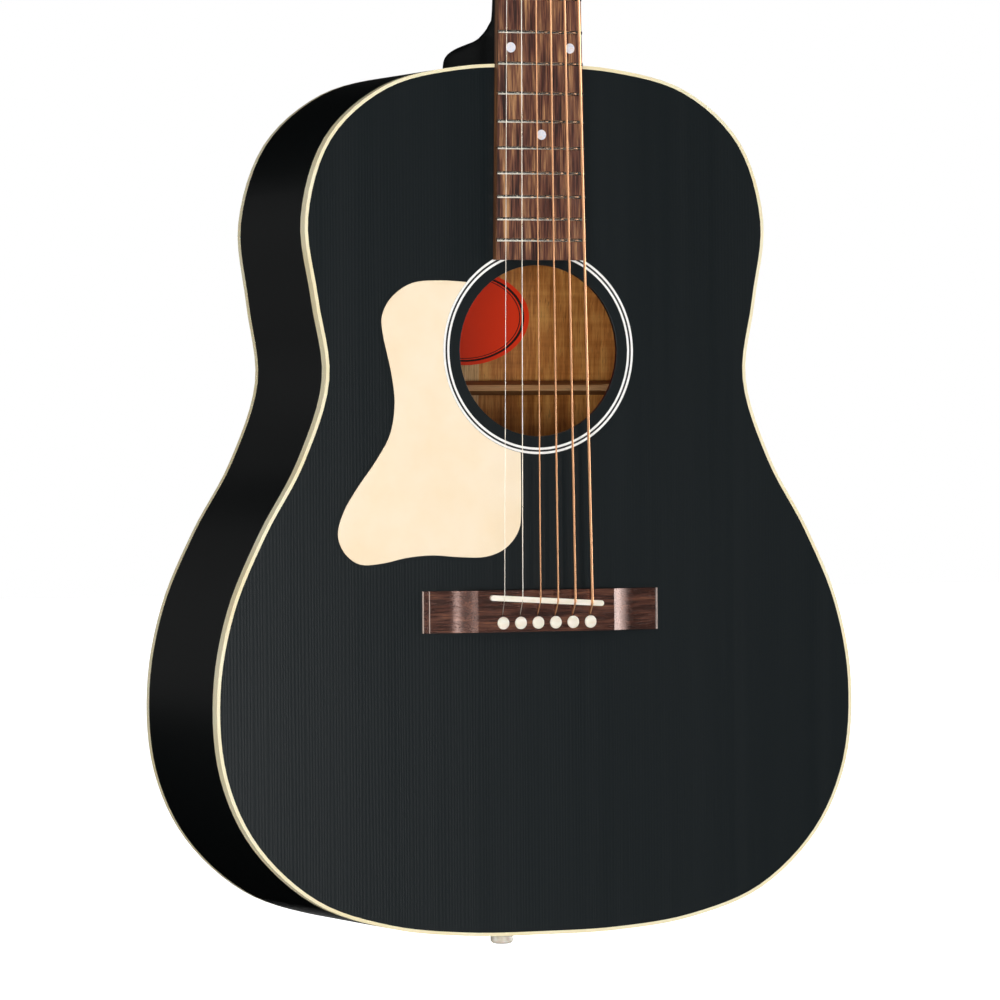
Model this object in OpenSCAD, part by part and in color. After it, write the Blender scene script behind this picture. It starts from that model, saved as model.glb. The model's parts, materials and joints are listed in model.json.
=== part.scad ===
// Left-handed steel-string acoustic guitar with sloping shoulders.
// X runs across the body, Y from the front to the back, and Z along the strings to the head.
// The treble side is on -X. The origin is the middle of the end pin's head.

/* [Scale and strings] */
// Vibrating length of a string, from the nut to the saddle line
scale_length = 628.6; // [610:0.1:650]
// Distance between the outer strings at the nut
nut_spread = 38; // [34:0.5:39]
// Distance between the outer strings at the bridge pins
pin_spread = 56.5; // [50:0.5:60]
// Height of the strings above the frets at the nut
nut_action = 0.3; // [0.2:0.05:0.6]

/* [Body] */
// Length of the body
body_length = 517; // [500:1:530]
// Width of the upper bout
upper_bout = 297; // [270:1:310]
// Width of the waist
waist = 272; // [255:1:285]
// Width of the lower bout
lower_bout = 412; // [395:1:425]
// Depth of the body at the tail
tail_depth = 124; // [115:1:130]
// Depth of the body at the neck
neck_depth = 104.5; // [98:0.5:112]
// Radius of the arch of the back
back_radius = 4500; // [3800:100:6000]
// Thickness of the top plate
top_thickness = 2.9; // [2.5:0.1:3.5]
// Thickness of the back plate
back_thickness = 2.9; // [2.5:0.1:3.5]
// Thickness of the bent sides
side_thickness = 2.4; // [2.2:0.1:3]

/* [Binding and linings] */
// Width of both bindings, as seen on the face
binding_width = 2; // [1.5:0.1:2.1]
// Height of the top binding on the side
top_binding_height = 7; // [5:0.5:8]
// Height of the back binding on the side
back_binding_height = 4.6; // [4:0.2:7]
// Width of the kerfed linings
lining_width = 6; // [5:0.5:8]
// Height of the kerfed linings
lining_height = 14; // [10:1:18]
// Width of a saw kerf in the linings
kerf_width = 1.6; // [1:0.1:2]
// Wood left behind a saw kerf
kerf_web = 1.8; // [1:0.1:3]

/* [Blocks and braces] */
// Width of the neck block and of the tail block
block_width = 84; // [76:1:100]
// Length of the neck block along the strings
neck_block_length = 56; // [50:1:62]
// Thickness of the tail block
tail_block_thickness = 20; // [16:1:26]
// Width of the X-brace bars
x_width = 8; // [6:0.5:9]
// Height of the X-brace bars
x_height = 15; // [12:0.5:18]
// Angle of an X-brace bar to the centre line
x_angle = 49; // [46:1:51]
// Distance from the soundhole's edge to the crossing of the X-brace
x_below_hole = 38; // [34:1:42]
// Width of the small top braces
bar_width = 6; // [5:0.5:8]
// Height of the small top braces
bar_height = 9; // [7:0.5:12]
// Width of the back braces
back_bar_width = 8.6; // [6:0.2:12]
// Height of the back braces
back_bar_height = 13; // [10:0.5:18]
// Thickness of the bridge plate
bridge_plate_thickness = 2.6; // [2:0.1:4]
// Thickness of the centre strip of the back
strip_thickness = 1.6; // [1:0.1:2.5]
// Width of the centre strip of the back
strip_width = 19; // [14:1:24]
// Width of the oval label
label_width = 86; // [70:1:100]
// Height of the oval label
label_height = 58; // [50:1:76]

/* [Soundhole and finger plate] */
// Radius of the soundhole
soundhole_radius = 50.8; // [48:0.1:52]
// Distance from the neck end of the body to the middle of the soundhole
soundhole_setback = 170; // [168:1:176]
// Distance from the soundhole's edge to the first rosette ring
ring_gap = 6.8; // [5:0.1:9]
// Width of a white rosette ring
white_ring = 1.4; // [1:0.1:2]
// Width of the black ring between them
black_ring = 1.1; // [0.8:0.1:2]
// Depth of the rosette inlay
ring_depth = 1.2; // [0.8:0.1:1.6]
// Thickness of the finger plate
finger_plate_thickness = 0.9; // [0.6:0.1:1.5]

/* [Bridge] */
// Length of the bridge
bridge_length = 152.4; // [146:0.2:158]
// Width of the bridge
bridge_width = 24.7; // [24:0.1:28]
// Thickness of the middle of the bridge
bridge_height = 8.8; // [8.2:0.1:9.6]
// Length of the thick middle part
bridge_middle = 88; // [84:1:100]
// Thickness of the bridge's wings
wing_height = 3.4; // [2.8:0.1:4.5]
// Radius of the scoop that leads down to a wing
scoop_radius = 28; // [16:1:32]
// Size of the bevel on the bridge's ends
end_bevel = 2.8; // [1:0.1:3]
// Length of the saddle
saddle_length = 73.4; // [70:0.2:78]
// Thickness of the saddle
saddle_thickness = 3.3; // [2.6:0.1:4]
// How far the saddle stands above the bridge
saddle_rise = 4; // [3:0.1:4.4]
// Depth of the slot that holds the saddle
saddle_slot_depth = 6; // [5:0.5:6.5]
// Slant of the saddle
saddle_slant = 3.4; // [0:0.1:4]
// How far the middle of the saddle stands back for the strings' pull
saddle_shift = 4; // [2:0.1:5]
// Distance from the scale's end to the bridge's front edge
bridge_lead = 2.4; // [2:0.1:4]
// Distance from the scale's end to the row of pins
pin_setback = 16.9; // [15:0.1:18]
// Radius of a bridge pin's head
pin_head_radius = 3.7; // [3.4:0.1:4.2]
// Radius of a bridge pin's shank
pin_radius = 2.7; // [2.5:0.05:2.8]
// Thickness of a bridge pin's head
pin_head_height = 1.7; // [1.4:0.1:2.4]
// Length of a bridge pin below its head
pin_length = 24; // [22:1:28]

/* [End pin] */
// Radius of the end pin's head
end_pin_head_radius = 6.9; // [6:0.1:8]
// Thickness of the end pin's head
end_pin_head = 6.2; // [5:0.1:8]
// Length of the neck between the head and the body
end_pin_neck = 3.6; // [3:0.1:6]
// Radius of the end pin's shank
end_pin_radius = 4.2; // [3.6:0.1:4.8]
// Length of the shank inside the body
end_pin_shank = 26; // [20:1:30]

/* [Neck] */
// Width of the neck at the nut
nut_width = 44.5; // [43:0.1:46]
// Width of the neck where it meets the body
joint_width = 54.5; // [53:0.5:58]
// Thickness of the fretboard
fretboard_thickness = 6.35; // [5.8:0.05:7]
// Radius of the fretboard's crown
crown_radius = 305; // [250:5:500]
// Depth of the neck's wood at the nut
neck_thickness = 15; // [14.5:0.1:17]
// Depth of the neck's wood near the heel
neck_thickness_low = 17; // [16:0.1:19]
// Width of the heel at the back
heel_width = 43; // [38:1:46]
// Thickness of the heel cap
heel_cap_thickness = 2.5; // [1.5:0.1:4]
// Width of the dovetail where it enters the body
tenon_width = 22; // [18:1:26]
// Length of the dovetail
tenon_length = 20; // [16:1:26]
// Depth of the dovetail, front to back
tenon_depth = 70; // [55:1:76]
// Thickness of the nut along the strings
nut_thickness = 5; // [4:0.5:6]

/* [Frets and dots] */
// Number of frets
fret_count = 19; // [17:1:19]
// Width of a fret's crown
fret_width = 2.4; // [1.8:0.1:2.8]
// Height of a fret's crown
fret_height = 1; // [0.8:0.05:1.3]
// Thickness of a fret's tang
tang_width = 0.6; // [0.4:0.05:0.8]
// Depth of a fret's tang
tang_depth = 1.8; // [1.4:0.1:2.2]
// Slope of the fret ends, from upright
fret_bevel = 35; // [20:1:40]
// Radius of a position dot
dot_radius = 3; // [2:0.1:3.5]
// Radius of a side dot
side_dot_radius = 1; // [0.7:0.1:1.3]
// Depth of the dots
dot_depth = 1.4; // [1:0.1:1.6]

/* [Head] */
// Angle of the head to the neck
head_angle = 15; // [13:0.5:16]
// Length of the head
head_length = 190; // [185:1:200]
// Width of the head at its lower shoulders
head_width_low = 74; // [70:1:78]
// Width of the head near its top
head_width_top = 66; // [62:1:76]
// Thickness of the head's wood
head_thickness = 13.5; // [12.5:0.1:16]
// Thickness of the head's veneer
veneer_thickness = 1.5; // [1:0.1:2]

/* [Truss rod] */
// Radius of the truss rod
rod_radius = 2.4; // [2:0.1:2.5]
// Depth of the rod's axis below the fretboard
rod_depth = 9.5; // [9:0.1:9.8]
// Length of the rod's nut
rod_nut_length = 12; // [9:0.5:12.5]
// Thickness of the rod cover
cover_thickness = 2; // [1.2:0.1:2.4]

/* [Tuners] */
// Distance from the head's lower end to the first posts
first_post = 46; // [44:1:50]
// Distance from one post to the next
post_pitch = 42; // [40:0.5:44]
// Distance from the centre line to the posts
post_offset = 23; // [22:0.5:24]
// Radius of a string post
post_radius = 3; // [2.8:0.1:3.3]
// Height of a string post above the veneer
post_height = 14.5; // [13:0.5:17]
// Thickness of the tuner plates
plate_thickness = 1.2; // [1:0.1:1.6]
// Width of the tuner plates
plate_width = 20; // [19:1:22]
// Teeth of a worm wheel
wheel_teeth = 14; // [14:1:14]
// Pitch radius of a worm wheel
wheel_radius = 6.3; // [6.2:0.05:6.5]
// Thickness of a worm wheel
wheel_thickness = 4.2; // [3.6:0.1:4.4]
// Radius of a worm shaft
shaft_radius = 1.9; // [1.7:0.05:2]
// Radius over the worm's thread
thread_radius = 3.4; // [3.3:0.05:3.5]
// Widest radius of a tuner button
button_radius = 10; // [8:0.5:11]
// Length of a tuner button
button_length = 17; // [14:1:20]
// Thickness of a tuner button
button_thickness = 8.4; // [7:0.2:10]

/* [Hidden] */

$fn = 64;

// A running fit and a glue joint's play, both on the radius
running_gap = 0.06;
glue_gap = 0.05;
// Overshoot of a cutter past the face that it cuts
over = 1;

// Strings from the treble side to the bass side: diameters in string order
string_diameters = [0.36, 0.46, 0.69, 0.99, 1.24, 1.5];
string_wraps = [4, 4, 4, 3, 3, 2];
// Which post of its side each string winds on, counted from the nut
string_post_rows = [0, 1, 2, 2, 1, 0];

// Levels along the guitar
tail_z = end_pin_neck + end_pin_head / 2;
body_end_z = tail_z + body_length;
saddle_z = body_end_z - scale_length / 2;
nut_z = saddle_z + scale_length;
head_z = nut_z + nut_thickness;
hole_z = body_end_z - soundhole_setback;
cross_z = hole_z - soundhole_radius - x_below_hole;
pin_z = saddle_z - pin_setback;
top_y = -tail_depth / 2;
inside_y = top_y + top_thickness;

// The arch of the back is a ball that passes through the tail's and the neck's back edges
back_run = [neck_depth - tail_depth, body_length];
back_chord = norm(back_run);
back_rise = sqrt(back_radius * back_radius - back_chord * back_chord / 4);
ball_y = top_y + (tail_depth + neck_depth) / 2 - back_rise * back_run[1] / back_chord;
ball_z = tail_z + body_length / 2 + back_rise * back_run[0] / back_chord;

function back_y(z, inset = 0) =
    ball_y + sqrt(pow(back_radius - inset, 2) - pow(z - ball_z, 2));

// Half of the body's outline from the neck to the tail, drawn for a body 517 long,
// 294, 272 and 409 wide. Each point is across and up.
shoulder = [[0, 517], [49, 515], [96, 503], [132, 472], [147, 425], [141, 377]];
waist_point = [136, 330];
bout = [[151, 282], [175, 240], [195, 195], [204, 147], [200, 98], [180, 56],
    [143, 23], [97, 7], [49, 1], [0, 0]];
outline_steps = 6;

function sized(p, drawn, width) =
    [p[0] * width / drawn, tail_z + p[1] * body_length / 517];
half_outline = concat(
    [for (p = shoulder) sized(p, 294, upper_bout)],
    [sized(waist_point, 272, waist)],
    [for (p = bout) sized(p, 409, lower_bout)]);
spans = len(half_outline) - 1;
function flipped(p) = [-p[0], p[1]];
outline_knots = concat([flipped(half_outline[1])], half_outline,
    [flipped(half_outline[spans - 1])]);

// A smooth curve through points, and its slope
function curve_at(a, b, c, d, t) =
    0.5 * (2 * b + (c - a) * t + (2 * a - 5 * b + 4 * c - d) * t * t
    + (3 * b - a - 3 * c + d) * t * t * t);
function slope_at(a, b, c, d, t) =
    0.5 * ((c - a) + (4 * a - 10 * b + 8 * c - 2 * d) * t
    + (9 * b - 3 * a - 9 * c + 3 * d) * t * t);
function unit(v) = v / norm(v);

function edge_point(k, t, inset) =
    let (a = outline_knots[k], b = outline_knots[k + 1],
        c = outline_knots[k + 2], d = outline_knots[k + 3],
        along = unit(slope_at(a, b, c, d, t)))
    curve_at(a, b, c, d, t) + inset * [along[1], -along[0]];
function bass_edge(inset) = concat(
    [for (k = [0 : spans - 1], s = [0 : outline_steps - 1]) edge_point(k, s / outline_steps, inset)],
    [edge_point(spans - 1, 1, inset)]);
function mirrored(points) =
    [for (k = [len(points) - 2 : -1 : 1]) flipped(points[k])];
function closed(points) = concat(points, mirrored(points));

// The inner edge of the linings steps in and out at every saw kerf
function kerfed_edge(inset, web, share) = concat(
    [edge_point(0, 0, inset)],
    [for (k = [0 : spans - 1], s = [0 : outline_steps / 2 - 1])
        let (t = (s + 0.5) * 2 / outline_steps)
        each [edge_point(k, t - share, inset), edge_point(k, t - share, web),
            edge_point(k, t + share, web), edge_point(k, t + share, inset)]],
    [edge_point(spans - 1, 1, inset)]);

// Shapes drawn across and up become slabs between two heights above the top's face.
// A height below zero is inside the body.
module slab(low, high) {
    translate([0, top_y - low, 0])
        rotate([90, 0, 0])
            linear_extrude(high - low)
                children();
}

module body_shape(inset) {
    polygon(closed(bass_edge(inset)));
}

// All that lies in front of the arched back. Rings of a shallow cone follow the arch.
arch_reach = norm([lower_bout / 2, max(body_end_z - ball_z, ball_z - tail_z)]) + over;
arch_rings = 10;
module back_ball(inset) {
    floor_y = back_radius - 2 * tail_depth;
    translate([0, ball_y, ball_z])
        rotate([-90, 0, 0])
            rotate_extrude($fn = 256)
                polygon(concat([[0, floor_y], [arch_reach, floor_y]],
                    [for (k = [arch_rings : -1 : 0])
                        let (r = arch_reach * k / arch_rings)
                        [r, sqrt(pow(back_radius - inset, 2) - r * r)]]));
}

// Everything inside the rim and in front of the back
module room(inset, low) {
    intersection() {
        slab(-tail_depth - 20, -low)
            body_shape(inset);
        back_ball(back_thickness);
    }
}

// Depth behind the top that is below both linings, where only the back's edge lies
back_zone = neck_depth - 24;

module half_space(side) {
    translate([side > 0 ? 0 : -lower_bout, top_y - 50, tail_z - 50])
        cube([lower_bout, tail_depth + 100, body_length + 100]);
}

// ---- plates ----

ring_inner = soundhole_radius + ring_gap;
ring_outer = ring_inner + 2 * white_ring + black_ring;

module hole_disc(r, low, high) {
    slab(low, high)
        translate([0, hole_z])
            circle(r, $fn = 128);
}

module pin_bores(r, low, high) {
    for (i = [0 : 5])
        translate([pin_x(i), top_y - low, pin_z])
            rotate([90, 0, 0])
                cylinder(r = r, h = high - low);
}

module top() {
    color("#26282b")
        difference() {
            slab(-top_thickness, 0)
                body_shape(binding_width);
            hole_disc(soundhole_radius, -top_thickness - over, over);
            difference() {
                hole_disc(ring_outer, -ring_depth, over);
                hole_disc(ring_inner, -ring_depth - over, 2 * over);
            }
            pin_bores(bore_radius, -top_thickness - over, over);
        }
}

module back() {
    color("#1c1d1f")
        intersection() {
            slab(-tail_depth - 20, -back_zone)
                body_shape(binding_width);
            difference() {
                back_ball(0);
                back_ball(back_thickness);
            }
        }
}

// ---- sides, binding and linings ----

module side_wall() {
    intersection() {
        slab(-tail_depth - 20, -top_binding_height)
            difference() {
                body_shape(0);
                body_shape(side_thickness);
            }
        back_ball(back_binding_height);
    }
    intersection() {
        slab(-tail_depth - 20, -top_thickness)
            difference() {
                body_shape(binding_width);
                body_shape(side_thickness);
            }
        back_ball(back_thickness);
    }
}

module side(half) {
    difference() {
        intersection() {
            side_wall();
            half_space(half);
        }
        tenon(glue_gap);
        end_pin_bore();
    }
}

module side_treble() {
    color("#1b1c1e") side(-1);
}

module side_bass() {
    color("#1b1c1e") side(1);
}

module binding_ring() {
    difference() {
        body_shape(0);
        body_shape(binding_width);
    }
}

module top_binding() {
    color("#f3e6c0")
        slab(-top_binding_height, 0)
            binding_ring();
}

module back_binding() {
    color("#f3e6c0")
        intersection() {
            slab(-tail_depth - 20, -back_zone)
                binding_ring();
            difference() {
                back_ball(0);
                back_ball(back_binding_height);
            }
        }
}

module lining_ring() {
    difference() {
        body_shape(side_thickness);
        polygon(closed(kerfed_edge(side_thickness + lining_width,
            side_thickness + kerf_web, kerf_width / 96)));
        translate([-block_width / 2, tail_z])
            square([block_width, body_length]);
    }
}

module top_lining() {
    color("#8a5a3a")
        slab(-top_thickness - lining_height, -top_thickness)
            lining_ring();
}

module back_lining() {
    color("#8a5a3a")
        intersection() {
            slab(-tail_depth - 20, -back_zone + lining_height)
                lining_ring();
            difference() {
                back_ball(back_thickness);
                back_ball(back_thickness + lining_height);
            }
        }
}

// ---- blocks ----

module block(low_z, length) {
    intersection() {
        room(side_thickness, top_thickness);
        translate([-block_width / 2, top_y, low_z])
            cube([block_width, tail_depth + 20, length]);
    }
}

// The dovetail is wider inside the body than at the heel
module tenon(gap) {
    low = top_binding_height + 1;
    slab(-low - tenon_depth - gap, -low + gap)
        polygon([
            [-tenon_width / 2 - gap, body_end_z + over],
            [-tenon_width / 2 - gap, body_end_z - side_thickness],
            [-tenon_width * 0.6 - gap, body_end_z - tenon_length - gap],
            [tenon_width * 0.6 + gap, body_end_z - tenon_length - gap],
            [tenon_width / 2 + gap, body_end_z - side_thickness],
            [tenon_width / 2 + gap, body_end_z + over]]);
}

module neck_block() {
    color("#8a5a3a")
        difference() {
            block(body_end_z - neck_block_length, neck_block_length);
            tenon(glue_gap);
        }
}

module end_pin_bore() {
    translate([0, 0, tail_z - over])
        cylinder(r = end_pin_radius + glue_gap, h = tail_block_thickness + side_thickness + 2 * over);
}

module tail_block() {
    color("#8a5a3a")
        difference() {
            block(tail_z, side_thickness + tail_block_thickness);
            end_pin_bore();
        }
}

// ---- inlay and finger plate ----

module ring(inner, width) {
    difference() {
        hole_disc(inner + width - glue_gap, -ring_depth, 0);
        hole_disc(inner, -ring_depth - over, over);
    }
}

// Three rings, white, black and white, set in one channel
module rosette() {
    color("#f2f0e8") ring(ring_inner, white_ring);
    color("#111111") ring(ring_inner + white_ring, black_ring);
    color("#f2f0e8") ring(ring_outer - white_ring, white_ring);
}

// Outline of the finger plate round its free edge, from the middle of the soundhole
finger_points = [[-45, 40.5], [-63, 41.5], [-81, 40], [-94, 32], [-100.5, 21], [-100, 9],
    [-95, -13], [-93, -31], [-96, -49], [-105, -64.5], [-117, -80.5], [-125.5, -94],
    [-129.5, -107.5], [-125.5, -118.5], [-115.5, -125.5], [-101, -125], [-86, -122],
    [-69.5, -120.7], [-52, -122], [-35.5, -122], [-22.5, -117], [-14, -106.5],
    [-12.4, -92.5], [-12.4, -60]];
finger_steps = 5;
function smooth(points, steps) =
    let (last = len(points) - 1)
    concat([for (k = [0 : last - 1], s = [0 : steps - 1])
        curve_at(points[max(k - 1, 0)], points[k], points[k + 1], points[min(k + 2, last)],
            s / steps)], [points[last]]);

module finger_plate() {
    color("#ffe9c8")
        slab(0, finger_plate_thickness)
            translate([0, hole_z])
                difference() {
                    polygon(concat(smooth(finger_points, finger_steps), [[-12.4, -20], [-20, 10]]));
                    circle(ring_outer + 0.2, $fn = 128);
                }
}

// ---- braces ----

// A bar along X on the plane Y = 0, standing up towards +Y, with both ends tapered
module brace_bar(length, width, height, taper, end_height, root = 0) {
    intersection() {
        translate([0, 0, -width / 2])
            linear_extrude(width)
                polygon([[-length / 2, -root], [-length / 2, end_height],
                    [-length / 2 + taper, height], [length / 2 - taper, height],
                    [length / 2, end_height], [length / 2, -root]]);
        rotate([90, 0, 90])
            translate([0, 0, -length / 2])
                linear_extrude(length)
                    polygon([[-root, -width / 2], [height * 0.6, -width / 2], [height, -width / 5],
                        [height, width / 5], [height * 0.6, width / 2], [-root, width / 2]]);
    }
}

module on_top_inside(x, z, angle) {
    translate([x, inside_y, z])
        rotate([0, angle, 0])
            children();
}

// The braces end just short of the linings
brace_end_gap = 0.4;
module between_linings() {
    slab(-tail_depth, 0)
        body_shape(side_thickness + lining_width + brace_end_gap);
}

x_reach = [190, 250];
module x_brace() {
    color("#c9a06c")
        intersection() {
            between_linings();
            for (s = [-1, 1])
                on_top_inside(0, cross_z, s * (90 - x_angle))
                    translate([s * (x_reach[0] - x_reach[1]) / 2, 0, 0])
                        brace_bar(x_reach[0] + x_reach[1], x_width, x_height, 110, 6);
        }
}

module top_braces() {
    color("#c9a06c")
        intersection() {
            between_linings();
            union() {
                on_top_inside(0, hole_z + soundhole_radius + 30, 0)
                    brace_bar(upper_bout, x_width, x_height, 60, 6);
                for (s = [-1, 1])
                    on_top_inside(s * 105, cross_z - 36, -s * 14)
                        brace_bar(76, bar_width, bar_height, 30, 2);
                for (k = [0, 1])
                    on_top_inside(-14 + 30 * k, pin_z - 62 - 50 * k, 25)
                        brace_bar(146 - 20 * k, bar_width, bar_height, 40, 2);
            }
        }
}

plate_top_z = pin_z + 22;
plate_low_z = pin_z - 14;
function plate_half(z) = (cross_z - z) * tan(x_angle) - x_width / cos(x_angle);

module bridge_plate() {
    color("#b98a5a")
        difference() {
            slab(-top_thickness - bridge_plate_thickness, -top_thickness)
                polygon([[-plate_half(plate_top_z), plate_top_z], [plate_half(plate_top_z), plate_top_z],
                    [plate_half(plate_low_z), plate_low_z], [-plate_half(plate_low_z), plate_low_z]]);
            pin_bores(bore_radius, -top_thickness - bridge_plate_thickness - over, over);
        }
}

back_bar_levels = [100, 215, 326, 440];
function back_bar_z(k) = tail_z + back_bar_levels[k] * body_length / 517;

// Half the width inside the linings at a level
function inner_half(z) =
    lookup(z, [for (p = bass_edge(side_thickness + lining_width)) [p[1], p[0]]]);

// The foot of each back brace follows the arch of the back
module back_braces() {
    color("#b98a5a")
        for (k = [0 : 3])
            intersection() {
                translate([0, back_y(back_bar_z(k), back_thickness), back_bar_z(k)])
                    mirror([0, 1, 0])
                        brace_bar(2 * inner_half(back_bar_z(k)) + 6, back_bar_width,
                            back_bar_height, 45, 4, 14);
                between_linings();
                back_ball(back_thickness);
            }
}

module label_shape() {
    translate([0, hole_z + 22])
        polygon([for (a = [0 : 6 : 354])
            [label_width / 2 * cos(a), label_height / 2 * sin(a)]]);
}

module back_strip() {
    color("#c9a06c")
        intersection() {
            slab(-tail_depth - 20, -back_zone)
                difference() {
                    translate([-strip_width / 2, tail_z + side_thickness + tail_block_thickness])
                        square([strip_width, body_length - side_thickness - tail_block_thickness
                            - neck_block_length]);
                    for (k = [0 : 3])
                        translate([-strip_width, back_bar_z(k) - back_bar_width / 2])
                            square([2 * strip_width, back_bar_width]);
                    label_shape();
                }
            difference() {
                back_ball(back_thickness);
                back_ball(back_thickness + strip_thickness);
            }
        }
}

label_thickness = 0.3;
module label() {
    color("#b4371f")
        intersection() {
            slab(-tail_depth - 20, -back_zone)
                label_shape();
            difference() {
                back_ball(back_thickness);
                back_ball(back_thickness + label_thickness);
            }
        }
}

// ---- where each string runs ----

function pin_x(i) = (i / 5 - 0.5) * pin_spread;
function nut_x(i) = (i / 5 - 0.5) * nut_spread;
function string_radius(i) = string_diameters[i] / 2;
function crown_drop(x) = crown_radius - sqrt(crown_radius * crown_radius - x * x);
fret_top = fretboard_thickness + fret_height;
saddle_top = bridge_height + saddle_rise;
bore_radius = pin_radius + 0.1;
// A string runs down the bore between the pin's groove and the wall
string_offset = 1.9;
groove_floor = 1.1;
saddle_mid_z = saddle_z - saddle_shift;
function saddle_line_z(x) = saddle_mid_z - x * tan(saddle_slant);
function above_top(h) = top_y - h;

ball_radius = 1.7;
ball_height = -top_thickness - bridge_plate_thickness - ball_radius;
ball_offset = groove_floor + ball_radius + 0.35;
function string_ball(i) = [pin_x(i), above_top(ball_height), pin_z + ball_offset];
function string_low(i) = [pin_x(i), above_top(ball_height + 1), pin_z + string_offset];
function string_bend(i) = [pin_x(i), above_top(bridge_height - 3.6), pin_z + string_offset];
function string_ramp(i) = [pin_x(i), above_top(bridge_height - 0.8), pin_z + pin_head_radius + 0.7];
function string_saddle(i) =
    [pin_x(i), above_top(saddle_top - crown_drop(pin_x(i)) + string_radius(i)),
        saddle_line_z(pin_x(i))];
function string_nut(i) =
    [nut_x(i), above_top(fret_top + nut_action - crown_drop(nut_x(i)) + string_radius(i)), nut_z];

// The head's own frame: across, into the wood, and up from the break behind the nut
module on_head() {
    translate([0, top_y, head_z])
        rotate([-head_angle, 0, 0])
            children();
}
function from_head(p) = [p[0],
    top_y + p[1] * cos(head_angle) + p[2] * sin(head_angle),
    head_z - p[1] * sin(head_angle) + p[2] * cos(head_angle)];
function to_head(p) = [p[0],
    (p[1] - top_y) * cos(head_angle) - (p[2] - head_z) * sin(head_angle),
    (p[1] - top_y) * sin(head_angle) + (p[2] - head_z) * cos(head_angle)];

function string_side(i) = i < 3 ? -1 : 1;
function post_z(row) = first_post + row * post_pitch;
waist_radius = post_radius - 0.4;
wrap_top = veneer_thickness + 7.6;
function wrap_radius(i) = waist_radius + running_gap + string_radius(i);
// Where a string first touches its post, coming up on the post's inner side
function string_touch(i) =
    let (s = string_side(i), from = to_head(string_nut(i)),
        du = s * post_offset - from[0], dv = post_z(string_post_rows[i]) - from[2],
        far = norm([du, dv]), turn = atan2(dv, du) + s * asin(wrap_radius(i) / far),
        reach = sqrt(far * far - wrap_radius(i) * wrap_radius(i)))
    from_head([from[0] + reach * cos(turn), -wrap_top, from[2] + reach * sin(turn)]);

module aim(p, q) {
    d = q - p;
    translate(p)
        rotate([0, atan2(d[0], d[2]), 0])
            rotate([-atan2(d[1], norm([d[0], d[2]])), 0, 0])
                children();
}

// A channel along a string, open to the front
module string_channel(p, q, r, ahead, behind) {
    aim(p, q)
        translate([0, 0, -behind]) {
            cylinder(r = r, h = norm(q - p) + ahead + behind, $fn = 24);
            translate([-r, -6, 0])
                cube([2 * r, 6, norm(q - p) + ahead + behind]);
        }
}

// A bend eased by a short curve that starts and ends this far from the corner
bend_reach = [1.6, 1.4, 0.5, 0.5];
function eased(a, q, b, reach) =
    let (p = q + reach * unit(a - q), r = q + reach * unit(b - q))
    [for (t = [0 : 1 / 3 : 1]) (1 - t) * (1 - t) * p + 2 * t * (1 - t) * q + t * t * r];

// Turns round the post, from the point where the string first touches it
turn_rings = 14;
function string_turns(i) =
    let (s = string_side(i), row = post_z(string_post_rows[i]),
        touch = to_head(string_touch(i)),
        start = atan2(touch[2] - row, touch[0] - s * post_offset))
    [for (k = [0 : string_wraps[i] * turn_rings])
        let (a = start - s * 360 * k / turn_rings)
        from_head([s * post_offset + wrap_radius(i) * cos(a),
            -wrap_top + 2.1 * string_radius(i) * k / turn_rings,
            row + wrap_radius(i) * sin(a)])];

function string_path(i) =
    let (stops = [string_low(i), string_bend(i), string_ramp(i), string_saddle(i),
        string_nut(i), string_touch(i)])
    concat([stops[0]],
        [for (k = [1 : 4]) each eased(stops[k - 1], stops[k], stops[k + 1], bend_reach[k - 1])],
        string_turns(i));

// A round tube along a path, with a ring square to the path at each point
tube_sides = 10;
module tube(path, r) {
    last = len(path) - 1;
    along = [for (k = [0 : last])
        unit(unit(path[min(k + 1, last)] - path[min(k, last - 1)])
            + unit(path[max(k, 1)] - path[max(k - 1, 0)]))];
    across = [for (k = 0, n = [1, 0, 0]; k <= last;
        k = k + 1, n = k <= last ? unit(n - (n * along[k]) * along[k]) : n) n];
    points = [for (k = [0 : last])
        let (u = unit(across[k] - (across[k] * along[k]) * along[k]), v = cross(along[k], u))
        each [for (j = [0 : tube_sides - 1])
            let (a = 360 * j / tube_sides) path[k] + r * cos(a) * u + r * sin(a) * v]];
    faces = concat([[for (j = [0 : tube_sides - 1]) j]],
        [for (k = [0 : last - 1], j = [0 : tube_sides - 1])
            let (a = k * tube_sides + j, b = k * tube_sides + (j + 1) % tube_sides)
            each [[a, a + tube_sides, b], [b, a + tube_sides, b + tube_sides]]],
        [[for (j = [tube_sides - 1 : -1 : 0]) last * tube_sides + j]]);
    polyhedron(points, faces, convexity = 10);
}

module string(i) {
    tube(string_path(i), string_radius(i));
    translate(string_ball(i))
        rotate([0, 90, 0])
            cylinder(r = ball_radius, h = 3.4, center = true, $fn = 32);
}

module string_1() { color("#d9dadc") string(0); }
module string_2() { color("#d9dadc") string(1); }
module string_3() { color("#c98a55") string(2); }
module string_4() { color("#c98a55") string(3); }
module string_5() { color("#c98a55") string(4); }
module string_6() { color("#c98a55") string(5); }

// ---- bridge ----

scoop_reach = sqrt(pow(scoop_radius, 2) - pow(scoop_radius - (bridge_height - wing_height), 2));
bridge_top_z = saddle_z + bridge_lead;
bridge_low_z = bridge_top_z - bridge_width;

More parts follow.
